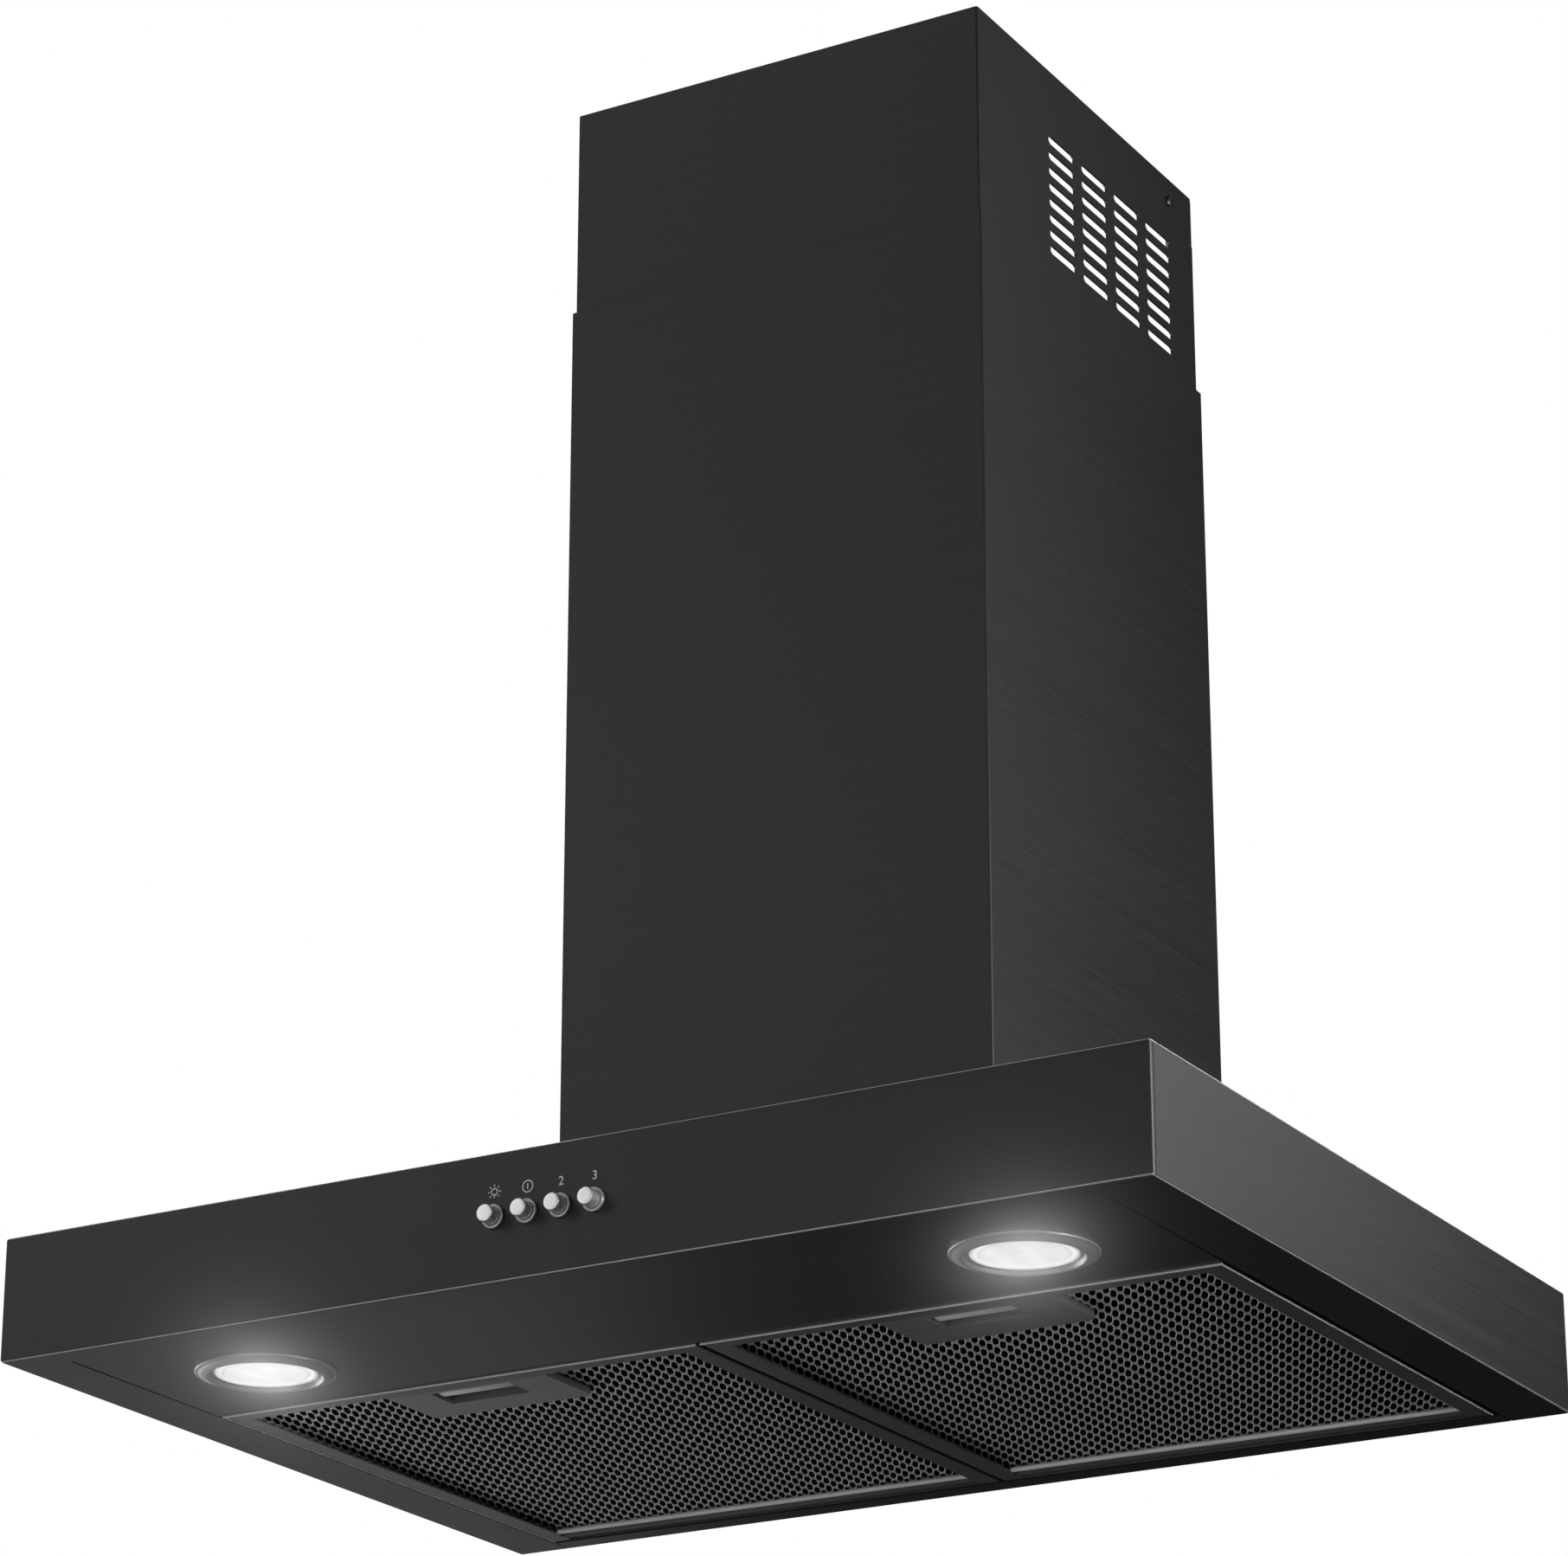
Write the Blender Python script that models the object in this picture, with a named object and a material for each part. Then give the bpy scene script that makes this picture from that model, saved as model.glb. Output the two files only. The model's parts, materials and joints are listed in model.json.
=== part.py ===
"""Chimney range hood: steel canopy, telescoping chimney covers, double-inlet fan, lamps, buttons and filters.

Metres, +Z up, +X to the right seen from the front, +Y into the wall. The origin is on the wall plane, at the
middle of the canopy's back. Every piece is one named object. A moving piece has its origin on its joint's axis.
"""
from math import asin, cos, pi, radians, sin

import bmesh
import bpy
from mathutils import Matrix, Vector

# Driving dimensions: canopy
HOOD_WIDTH = 0.598
HOOD_DEPTH = 0.450
CANOPY_HEIGHT = 0.060
SHEET = 0.001
GAP = 0.0003
EDGE_RADIUS = 0.0012
SEAM_WIDTH = 0.0005
SEAM_DEPTH = 0.0006
SIDE_STRIP = 0.030
SLOT_WIDTH = 0.0012
SLOT_START = 0.0157
LIGHT_PANEL_DEPTH = 0.132
REAR_RAIL_DEPTH = 0.013
MOUTH_MARGIN = 0.005

# Chimney covers
CHIMNEY_WIDTH = 0.240
CHIMNEY_DEPTH = 0.250
LOWER_CHIMNEY_HEIGHT = 0.5222
UPPER_CHIMNEY_LENGTH = 0.400
UPPER_CHIMNEY_SHOWS = 0.1152
CHIMNEY_CLEARANCE = 0.0004
CHIMNEY_BACK_GAP = 0.0026
CHIMNEY_RETURN = 0.012
CHIMNEY_EDGE_RADIUS = 0.0012
BRACKET_HEIGHT = 0.028
BRACKET_SHEET = 0.0015
BRACKET_TAB = 0.040
BRACKET_FLANGE = 0.0148
BRACKET_CLEARANCE = 0.0005
BRACKET_SCREW_DROP = 0.0137
BRACKET_SCREW_INSET = 0.031
WALL_HOLE_RADIUS = 0.0025
FOOT_TAB = 0.017

# Vent slots in each side of the upper cover
VENT_COLUMNS = 4
VENT_ROWS = 8
VENT_LENGTH = 0.029
VENT_HEIGHT = 0.0045
VENT_COLUMN_PITCH = 0.0373
VENT_ROW_PITCH = 0.009
VENT_TOP_DROP = 0.0402
VENT_REAR_INSET = 0.0452

# Screws
SCREW_HEAD_RADIUS = 0.0030
SCREW_HEAD_HEIGHT = 0.0018
SCREW_RADIUS = 0.0018
SCREW_LENGTH = 0.006
SCREW_SIDES = 12

# Lamps
LAMP_OFFSET = 0.200
LAMP_INSET = 0.074
LAMP_LENS_RADIUS = 0.0240
LAMP_NECK_WALL = 0.0026
LAMP_RIM = 0.0064
LAMP_NECK_HEIGHT = 0.004
LAMP_BEZEL_EDGE = 0.0008
LAMP_BEZEL_DROP = 0.0030
LAMP_LENS_CROWN = 0.0015
LAMP_LENS_DEPTH = 0.0020
LAMP_HOLDER_HEIGHT = 0.028
LAMP_HOLDER_WAIST = 0.68

# Push buttons
BUTTON_COUNT = 4
BUTTON_PITCH = 0.0175
BUTTON_RADIUS = 0.0040
BUTTON_PROUD = 0.0085
BUTTON_TRAVEL = 0.0035
BUTTON_BEHIND = 0.0065
BUTTON_CHAMFER = 0.0005
COLLAR_WALL = 0.0013
COLLAR_NECK_WALL = 0.0006
COLLAR_PROUD = 0.0018
COLLAR_CHAMFER = 0.0006
COLLAR_NECK_DEPTH = 0.004
SWITCH_BLOCK_DEPTH = 0.024
SWITCH_BLOCK_HEIGHT = 0.024
SWITCH_BLOCK_MARGIN = 0.005
SWITCH_BLOCK_EAR = (0.012, 0.006)

# Blower box and its screws
BLOWER_SIDE_ROOM = 0.014
BLOWER_FRONT_ROOM = 0.009
BLOWER_BACK = -0.030
BLOWER_HEIGHT = 0.215
BLOWER_FLANGE = 0.0095
BLOWER_FLANGE_FRONT = 0.0065
BLOWER_SCREW_INSET = 0.030

# Scroll housing and fan
FAN_RISE = 0.095
SCROLL_CLEARANCE = 0.006
SCROLL_GROWTH = 0.022
SCROLL_WIDTH = 0.114
SCROLL_WALL = 0.0015
CUTOFF_OFFSET = 0.010
INLET_RIM = 0.012
IMPELLER_RADIUS = 0.062
IMPELLER_WIDTH = 0.096
BLADE_COUNT = 24
BLADE_LENGTH = 0.011
MOTOR_RADIUS = 0.038
MOTOR_LENGTH = 0.046
MOTOR_BOSS_RADIUS = 0.0152
MOTOR_BOSS_HEIGHT = 0.004
MOTOR_CHAMFER = 0.003
MOTOR_BRACKET_SHEET = 0.002
MOTOR_BRACKET_RIM = 0.010
MOTOR_ARM_WIDTH = 0.012
SHAFT_RADIUS = 0.004
SHAFT_START = -0.012
SHAFT_IN_MOTOR = 0.020
BLADE_SHEET = 0.0012
BLADE_LEAN = 30
DISC_SHEET = 0.002
HUB_RADIUS = 0.011
HUB_START = -0.010

# Outlet spigot and non-return flaps
SPIGOT_SHIFT = 0.008
SPIGOT_RADIUS = 0.075
SPIGOT_HEIGHT = 0.058
SPIGOT_FLANGE = 0.009
SPIGOT_SHEET = 0.0015
FLAP_RISE = 0.040
FLAP_SHEET = 0.001
FLAP_PIN_RADIUS = 0.0015
FLAP_BARREL_RADIUS = 0.0035
FLAP_EDGE_GAP = 0.0008
FLAP_RIM_GAP = 0.002

# Electrics on the back of the blower box
TERMINAL_BOX_SIZE = (0.080, 0.0235, 0.060)
TERMINAL_BOX_X = -0.055
TERMINAL_BOX_Z = 0.170
TERMINAL_WALL = 0.002
GLAND_RADIUS = 0.008
GLAND_BORE_RADIUS = 0.0045
GLAND_HEIGHT = 0.020
GLAND_STEP = 0.002
CAPACITOR_RADIUS = 0.011
CAPACITOR_HEIGHT = 0.060
CAPACITOR_X = 0.055
CAPACITOR_STANDOFF = 0.0015
CLIP_HEIGHT = 0.012
CLIP_SHEET = 0.0012
CLIP_WING = 0.010

# Grease filters
FILTER_SIDE_GAP = 0.0024
FILTER_PROUD = 0.0005
FILTER_HEIGHT = 0.009
FILTER_FRONT_BAND = 0.010
FILTER_SIDE_BAND = 0.011
FILTER_REAR_BAND = 0.015
FILTER_BEAD_RADIUS = 0.0045
FILTER_REAR_GAP = 0.004
FILTER_FRONT_GAP = 0.0005
MESH_RECESS = 0.0035
MESH_THICKNESS = 0.0016
FRAME_EDGE_RADIUS = 0.0008
BEAD_FROM_WINDOW = 0.004
HINGE_INSET = 0.0025
HINGE_RISE = 0.002

# Filter latches
LATCH_WIDTH = 0.089
LATCH_DEPTH = 0.043
LATCH_CORNER = 0.003
RECESS_WIDTH = 0.044
RECESS_DEPTH = 0.0203
RECESS_INSET = 0.0032
GRIP_DEPTH = 0.009
GRIP_SIDE_GAP = 0.0015
GRIP_FRONT_GAP = 0.003
GRIP_SET_BACK = 0.0008
GRIP_EDGE_RADIUS = 0.0015
TONGUE_WIDTH = 0.019
TONGUE_LOW = 0.0033
TONGUE_HIGH = 0.0062
LATCH_TRAVEL = 0.0065

# Hooks on the rear panel
HOOK_OFFSET = 0.200
HOOK_WIDTH = 0.050
HOOK_SHEET = 0.002
HOOK_LOW = -0.016
HOOK_HIGH = 0.022
HOOK_LIP = 0.020
HOOK_OPENING = (0.034, 0.016)

# Derived places
FRONT = -HOOD_DEPTH
TOP = CANOPY_HEIGHT / 2
BOTTOM = -CANOPY_HEIGHT / 2
OPENING_HALF = HOOD_WIDTH / 2 - SIDE_STRIP
LAMP_NECK_RADIUS = LAMP_LENS_RADIUS + GAP + LAMP_NECK_WALL
LAMP_HOLE_RADIUS = LAMP_NECK_RADIUS + 2 * GAP
LAMP_BEZEL_RADIUS = LAMP_NECK_RADIUS + LAMP_RIM
BUTTON_BORE = BUTTON_RADIUS + GAP
COLLAR_NECK_RADIUS = BUTTON_BORE + COLLAR_NECK_WALL
COLLAR_RADIUS = BUTTON_BORE + COLLAR_WALL
CHIMNEY_HALF = CHIMNEY_WIDTH / 2
CHIMNEY_BASE = TOP + GAP
CHIMNEY_TOP = CHIMNEY_BASE + LOWER_CHIMNEY_HEIGHT
UPPER_HALF = CHIMNEY_HALF - SHEET - CHIMNEY_CLEARANCE
UPPER_FRONT = -CHIMNEY_DEPTH + SHEET + CHIMNEY_CLEARANCE
UPPER_TOP = CHIMNEY_TOP + UPPER_CHIMNEY_SHOWS
UPPER_BASE = UPPER_TOP - UPPER_CHIMNEY_LENGTH
BRACKET_BASE = UPPER_TOP - GAP - BRACKET_HEIGHT
BRACKET_SCREW_Z = UPPER_TOP - BRACKET_SCREW_DROP
BLOWER_WIDTH = CHIMNEY_WIDTH - 2 * (SHEET + BLOWER_SIDE_ROOM)
BLOWER_FRONT = -CHIMNEY_DEPTH + SHEET + BLOWER_FRONT_ROOM
BLOWER_BASE = TOP + GAP
BLOWER_TOP = BLOWER_BASE + BLOWER_HEIGHT
INLET_RADIUS = IMPELLER_RADIUS - INLET_RIM
SCROLL_START_RADIUS = IMPELLER_RADIUS + SCROLL_CLEARANCE
SCROLL_END_RADIUS = SCROLL_START_RADIUS + SCROLL_GROWTH
FAN_Y = BLOWER_FRONT + SCROLL_START_RADIUS + SCROLL_GROWTH / 2 + SHEET
FAN_Z = TOP + FAN_RISE
SPIGOT_Y = FAN_Y + (CUTOFF_OFFSET + SCROLL_END_RADIUS) / 2 - SPIGOT_SHIFT
FLAP_Z = BLOWER_TOP + FLAP_RISE
FILTER_FRONT = FRONT + LIGHT_PANEL_DEPTH + FILTER_FRONT_GAP
FILTER_BACK = -REAR_RAIL_DEPTH - FILTER_REAR_GAP
FILTER_INNER = FILTER_SIDE_GAP / 2
FILTER_OUTER = OPENING_HALF - FILTER_SIDE_GAP
FILTER_CENTRE = (FILTER_INNER + FILTER_OUTER) / 2
FILTER_HALF = (FILTER_OUTER - FILTER_INNER) / 2
FILTER_BOTTOM = BOTTOM - FILTER_PROUD
FILTER_TOP = FILTER_BOTTOM + FILTER_HEIGHT
AXES = {"X": (1, 2), "Y": (0, 2), "Z": (0, 1)}
REACH = 0.02
RING_SIDES = 36
SIDES = (("left", -1), ("right", 1))

scene = bpy.context.scene


def make_material(name, color, roughness, metallic):
    """A Principled material in one colour."""
    material = bpy.data.materials.new(name)
    material.use_nodes = True
    shader = material.node_tree.nodes["Principled BSDF"]
    shader.inputs["Base Color"].default_value = (*color, 1.0)
    shader.inputs["Roughness"].default_value = roughness
    shader.inputs["Metallic"].default_value = metallic
    material.diffuse_color = (*color, 1.0)
    return material


def slab(low, high):
    """A box between two corners."""
    bm = bmesh.new()
    low, high = Vector(low), Vector(high)
    size = high - low
    matrix = Matrix.Translation((low + high) / 2) @ Matrix.Diagonal((*size, 1.0))
    bmesh.ops.create_cube(bm, size=1.0, matrix=matrix)
    return bm


def edge_along(edge, axis):
    """True where an edge runs along an axis, given as 0, 1 or 2."""
    direction = (edge.verts[1].co - edge.verts[0].co).normalized()
    return abs(direction[axis]) > 0.999


def bevelled_slab(low, high, radius, chosen, segments=2):
    """A box whose chosen edges are rounded; chosen(edge) says which."""
    bm = slab(low, high)
    edges = [edge for edge in bm.edges if chosen(edge)]
    bmesh.ops.bevel(bm, geom=edges, offset=radius, segments=segments, profile=0.5, affect="EDGES")
    return bm


def prism(outline, axis, start, end):
    """A closed outline in the plane across an axis, extruded along it from start to end."""
    bm = bmesh.new()
    first, second = AXES[axis]
    along = "XYZ".index(axis)
    verts = []
    for a, b in outline:
        point = [0.0, 0.0, 0.0]
        point[first], point[second], point[along] = a, b, start
        verts.append(bm.verts.new(point))
    face = bm.faces.new(verts)
    grown = bmesh.ops.extrude_face_region(bm, geom=[face])
    offset = Vector((0.0, 0.0, 0.0))
    offset[along] = end - start
    moved = [item for item in grown["geom"] if isinstance(item, bmesh.types.BMVert)]
    bmesh.ops.translate(bm, verts=moved, vec=offset)
    return bm


def arc(centre, radius, start, end, steps):
    """Points on an arc from start to end, in degrees, both ends included."""
    angles = [radians(start + (end - start) * i / steps) for i in range(steps + 1)]
    return [(centre[0] + radius * cos(a), centre[1] + radius * sin(a)) for a in angles]


def rod(axis, centre, radius, start, end, sides=24):
    """A cylinder along an axis; centre is its place in the plane across that axis."""
    outline = arc(centre, radius, 0, 360 * (sides - 1) / sides, sides - 1)
    return prism(outline, axis, start, end)


def stadium(axis, centre, length, height, start, end, steps=3):
    """A slot with round ends, long across the first free axis."""
    half = (length - height) / 2
    right = arc((centre[0] + half, centre[1]), height / 2, -90, 90, steps)
    left = arc((centre[0] - half, centre[1]), height / 2, 90, 270, steps)
    return prism(right + left, axis, start, end)


def turned(profile, axis, centre, sides=32):
    """A profile of (radius, position along the axis) points spun round the axis."""
    bm = bmesh.new()
    first, second = AXES[axis]
    along = "XYZ".index(axis)
    verts = []
    for radius, place in profile:
        point = [0.0, 0.0, 0.0]
        point[first], point[second], point[along] = centre[0] + radius, centre[1], place
        verts.append(bm.verts.new(point))
    edges = [bm.edges.new(pair) for pair in zip(verts, verts[1:])]
    if profile[0][0] > 0.0:
        edges.append(bm.edges.new((verts[-1], verts[0])))
    pivot = Vector((0.0, 0.0, 0.0))
    pivot[first], pivot[second] = centre
    direction = Vector((0.0, 0.0, 0.0))
    direction[along] = 1.0
    bmesh.ops.spin(bm, geom=verts + edges, cent=pivot, axis=direction, angle=2 * pi, steps=sides,
                   use_merge=True)
    bmesh.ops.remove_doubles(bm, verts=bm.verts, dist=1e-7)
    return bm


def joined(*pieces):
    """Several separate shapes in one mesh, as a single cutter."""
    bm = bmesh.new()
    for piece in pieces:
        bmesh.ops.recalc_face_normals(piece, faces=piece.faces)
        mesh = bpy.data.meshes.new("piece")
        piece.to_mesh(mesh)
        piece.free()
        bm.from_mesh(mesh)
        bpy.data.meshes.remove(mesh)
    return bm


def rotated(bm, angle, axis, centre):
    """A shape turned by an angle in radians about an axis through a point."""
    bmesh.ops.rotate(bm, verts=bm.verts, cent=centre, matrix=Matrix.Rotation(angle, 3, axis))
    return bm


def add(name, bm, material):
    """A new object holding the shape, with its faces pointing out."""
    bmesh.ops.recalc_face_normals(bm, faces=bm.faces)
    mesh = bpy.data.meshes.new(name)
    bm.to_mesh(mesh)
    bm.free()
    mesh.materials.append(material)
    item = bpy.data.objects.new(name, mesh)
    scene.collection.objects.link(item)
    return item


def shape(body, operation, *tools):
    """Apply one Boolean for each tool shape."""
    for tool in tools:
        cutter = add("cutter", tool, body.data.materials[0])
        modifier = body.modifiers.new("shape", "BOOLEAN")
        modifier.operation = operation
        modifier.solver = "EXACT"
        modifier.object = cutter
        evaluated = body.evaluated_get(bpy.context.evaluated_depsgraph_get())
        mesh = bpy.data.meshes.new_from_object(evaluated)
        body.modifiers.clear()
        old = body.data
        body.data = mesh
        bpy.data.meshes.remove(old)
        used = cutter.data
        bpy.data.objects.remove(cutter)
        bpy.data.meshes.remove(used)
    return body


def cut(body, *tools):
    """Take shapes away from a body."""
    return shape(body, "DIFFERENCE", *tools)


def fuse(body, *tools):
    """Join shapes to a body."""
    return shape(body, "UNION", *tools)


def set_origin(item, point):
    """Put a piece's origin on its joint's axis, with the piece where it is."""
    item.data.transform(Matrix.Translation(-Vector(point)))
    item.location = point


def smooth(item, angle=30):
    """Shade round faces smooth and keep sharp edges."""
    item.data.shade_smooth()
    item.data.set_sharp_from_angle(angle=radians(angle))


def mirrored(x, sign):
    """A low and high x for one side, in rising order."""
    return sorted((x[0] * sign, x[1] * sign))


def button_x(index):
    """The place of a button across the hood."""
    return (index - (BUTTON_COUNT - 1) / 2) * BUTTON_PITCH


BLACK_STEEL = make_material("black_steel", (0.030, 0.029, 0.029), 0.38, 0.55)
GALVANISED = make_material("galvanised_steel", (0.42, 0.43, 0.44), 0.45, 0.9)
FILTER_METAL = make_material("filter_aluminium", (0.16, 0.15, 0.15), 0.42, 0.8)
MESH_METAL = make_material("filter_mesh_aluminium", (0.12, 0.12, 0.12), 0.45, 0.8)
BEZEL_METAL = make_material("satin_nickel", (0.46, 0.43, 0.40), 0.35, 0.9)
LENS_GLASS = make_material("frosted_glass", (0.95, 0.94, 0.90), 0.25, 0.0)
BUTTON_METAL = make_material("button_metal", (0.62, 0.62, 0.62), 0.3, 0.7)
COLLAR_METAL = make_material("collar_metal", (0.30, 0.29, 0.28), 0.4, 0.8)
BLACK_PLASTIC = make_material("black_plastic", (0.025, 0.025, 0.026), 0.5, 0.0)
GREY_PLASTIC = make_material("grey_plastic", (0.28, 0.29, 0.30), 0.55, 0.0)
MOTOR_STEEL = make_material("motor_steel", (0.20, 0.21, 0.22), 0.4, 0.85)
SCREW_STEEL = make_material("screw_steel", (0.35, 0.34, 0.33), 0.35, 0.9)
CAPACITOR_WHITE = make_material("capacitor_white", (0.75, 0.75, 0.72), 0.4, 0.0)


def make_canopy():
    """The folded canopy: open at the back, with the filter opening, lamp, button and blower holes."""
    half = HOOD_WIDTH / 2

    def outer_edge(edge):
        return not all(abs(vert.co.y) < 1e-6 for vert in edge.verts)

    folded = bevelled_slab((-half, FRONT, BOTTOM), (half, 0.0, TOP), EDGE_RADIUS, outer_edge)
    body = add("canopy_shell", folded, BLACK_STEEL)
    cut(body, slab((-half + SHEET, FRONT + SHEET, BOTTOM + SHEET), (half - SHEET, REACH, TOP - SHEET)))
    panel_back = FRONT + LIGHT_PANEL_DEPTH
    cut(body, slab((-OPENING_HALF, panel_back, BOTTOM - REACH), (OPENING_HALF, REACH, BOTTOM + REACH / 2)))
    slots = [slab((low, FRONT + SLOT_START, BOTTOM - REACH), (high, panel_back + REACH, BOTTOM + REACH / 2))
             for low, high in (mirrored((OPENING_HALF - SLOT_WIDTH, OPENING_HALF), sign) for _, sign in SIDES)]
    cut(body, joined(*slots))
    grooves = [slab((low, FRONT + 2 * EDGE_RADIUS, BOTTOM - REACH),
                    (high, FRONT + 2 * EDGE_RADIUS + SEAM_WIDTH, TOP - EDGE_RADIUS))
               for low, high in (mirrored((half - SEAM_DEPTH, half + REACH), sign) for _, sign in SIDES)]
    cut(body, joined(*grooves))
    lamps = [rod("Z", (sign * LAMP_OFFSET, FRONT + LAMP_INSET), LAMP_HOLE_RADIUS, BOTTOM - REACH,
                 BOTTOM + REACH / 2, 32) for _, sign in SIDES]
    cut(body, joined(*lamps))
    hole = COLLAR_NECK_RADIUS + GAP
    buttons = [rod("Y", (button_x(i), 0.0), hole, FRONT - REACH, FRONT + REACH / 2)
               for i in range(BUTTON_COUNT)]
    cut(body, joined(*buttons))
    mouth_half = BLOWER_WIDTH / 2 - MOUTH_MARGIN
    cut(body, slab((-mouth_half, BLOWER_FRONT + MOUTH_MARGIN, TOP - REACH / 2),
                   (mouth_half, BLOWER_BACK - MOUTH_MARGIN, TOP + REACH)))


def make_rear_panel():
    """The canopy's back sheet with its bottom rail and two hook openings."""
    side = HOOD_WIDTH / 2 - SHEET - GAP
    rail = OPENING_HALF - 2 * GAP
    top = TOP - SHEET - GAP
    body = add("rear_panel", slab((-side, -SHEET, BOTTOM + SHEET + GAP), (side, 0.0, top)), BLACK_STEEL)
    fuse(body, slab((-rail, -SHEET, BOTTOM), (rail, 0.0, 0.0)))
    fuse(body, slab((-rail, -REAR_RAIL_DEPTH, BOTTOM), (rail, -SHEET / 2, BOTTOM + SHEET)))
    width, height = HOOK_OPENING
    holes = [slab((sign * HOOK_OFFSET - width / 2, -REACH, -height / 2),
                  (sign * HOOK_OFFSET + width / 2, REACH, height / 2)) for _, sign in SIDES]
    cut(body, joined(*holes))


def make_wall_hooks():
    """Two folded plates inside the rear panel, by which the canopy hangs on the wall."""
    width, height = HOOK_OPENING
    back = -SHEET - GAP
    front = back - HOOK_SHEET
    for name, sign in SIDES:
        x = sign * HOOK_OFFSET
        low, high = x - HOOK_WIDTH / 2, x + HOOK_WIDTH / 2
        body = add(f"wall_hook_{name}", slab((low, front, HOOK_LOW), (high, back, HOOK_HIGH)), GALVANISED)
        fuse(body, slab((low, front - HOOK_LIP, HOOK_HIGH - HOOK_SHEET), (high, back, HOOK_HIGH)))
        cut(body, slab((x - width / 2, front - REACH / 2, -height / 2), (x + width / 2, REACH, height / 2)))


def chimney_sheet(name, half, front, back, base, top):
    """A U-shaped cover: front, two sides and narrow returns along the open back."""
    def front_corner(edge):
        return edge_along(edge, 2) and edge.verts[0].co.y < (front + back) / 2

    body = add(name, bevelled_slab((-half, front, base), (half, back, top), CHIMNEY_EDGE_RADIUS, front_corner),
               BLACK_STEEL)
    cut(body, slab((-half + SHEET, front + SHEET, base - REACH), (half - SHEET, back - SHEET, top + REACH)))
    inner = half - CHIMNEY_RETURN
    cut(body, slab((-inner, back - REACH, base - REACH), (inner, back + REACH, top + REACH)))
    return body


def make_lower_chimney():
    """The lower cover, with a foot tab on each return that is screwed to the canopy."""
    body = chimney_sheet("lower_chimney", CHIMNEY_HALF, -CHIMNEY_DEPTH, 0.0, CHIMNEY_BASE, CHIMNEY_TOP)
    inner = CHIMNEY_HALF - SHEET / 2
    for _, sign in SIDES:
        low, high = mirrored((inner - FOOT_TAB, inner), sign)
        fuse(body, slab((low, -FOOT_TAB, CHIMNEY_BASE), (high, -SHEET / 2, CHIMNEY_BASE + SHEET)))
    for name, sign in SIDES:
        x, y = sign * (CHIMNEY_HALF - FOOT_TAB / 2 - SHEET), -FOOT_TAB / 2 - SHEET
        cut(body, rod("Z", (x, y), SCREW_RADIUS + GAP, CHIMNEY_BASE - REACH / 4, CHIMNEY_BASE + REACH / 4, 16))
        add_screw(f"chimney_foot_screw_{name}", "Z", (x, y), CHIMNEY_BASE + SHEET + GAP, -1, SHEET + GAP / 2)


def make_upper_chimney():
    """The upper cover: slides in the lower one, with rows of vent slots near its top."""
    back = -CHIMNEY_BACK_GAP
    body = chimney_sheet("upper_chimney", UPPER_HALF, UPPER_FRONT, back, UPPER_BASE, UPPER_TOP)
    relief = BRACKET_BASE - 2 * GAP
    outside = UPPER_HALF + REACH
    cut(body, slab((-outside, back - SHEET, relief), (outside, REACH, UPPER_TOP + REACH)))
    slots = []
    for column in range(VENT_COLUMNS):
        y = -VENT_REAR_INSET - column * VENT_COLUMN_PITCH
        for row in range(VENT_ROWS):
            z = UPPER_TOP - VENT_TOP_DROP - row * VENT_ROW_PITCH
            slots.append(stadium("X", (y, z), VENT_LENGTH, VENT_HEIGHT, -outside, outside))
    cut(body, joined(*slots))
    cut(body, rod("X", (-BRACKET_SCREW_INSET, BRACKET_SCREW_Z), SCREW_RADIUS + GAP, -outside, outside, 16))


def make_upper_brackets():
    """Two angles in the upper cover's rear corners: a flange for the wall and a tab for the cover's screw."""
    outer = UPPER_HALF - SHEET - BRACKET_CLEARANCE
    top = BRACKET_BASE + BRACKET_HEIGHT
    screw = (-BRACKET_SCREW_INSET, BRACKET_SCREW_Z)
    wall_hole = (outer - BRACKET_FLANGE / 2 - BRACKET_SHEET / 2, (BRACKET_BASE + top) / 2)
    for name, sign in SIDES:
        low, high = mirrored((outer - BRACKET_FLANGE, outer), sign)
        flange = slab((low, -BRACKET_SHEET, BRACKET_BASE), (high, 0.0, top))
        body = add(f"upper_bracket_{name}", flange, GALVANISED)
        low, high = mirrored((outer - BRACKET_SHEET, outer), sign)
        fuse(body, slab((low, -BRACKET_TAB, BRACKET_BASE), (high, -BRACKET_SHEET / 2, top)))
        cut(body, rod("Y", (sign * wall_hole[0], wall_hole[1]), WALL_HOLE_RADIUS, -REACH / 2, REACH, 16))
        low, high = mirrored((outer - REACH / 2, UPPER_HALF + REACH), sign)
        cut(body, rod("X", screw, SCREW_RADIUS + GAP, low, high, 16))
        add_screw(f"bracket_screw_{name}", "X", screw, sign * (UPPER_HALF + GAP), -sign, SCREW_LENGTH)


def add_screw(name, axis, centre, seat, inward, length):
    """A pan-head screw: its head sits on a face at seat, its shank runs inward (+1 or -1) along the axis."""
    profile = [(0.0, seat - inward * SCREW_HEAD_HEIGHT),
               (SCREW_HEAD_RADIUS * 0.72, seat - inward * SCREW_HEAD_HEIGHT * 0.86),
               (SCREW_HEAD_RADIUS, seat - inward * SCREW_HEAD_HEIGHT * 0.35),
               (SCREW_HEAD_RADIUS, seat),
               (SCREW_RADIUS, seat),
               (SCREW_RADIUS, seat + inward * length),
               (0.0, seat + inward * length)]
    item = add(name, turned(profile, axis, centre, SCREW_SIDES), SCREW_STEEL)
    smooth(item)
    return item


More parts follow.
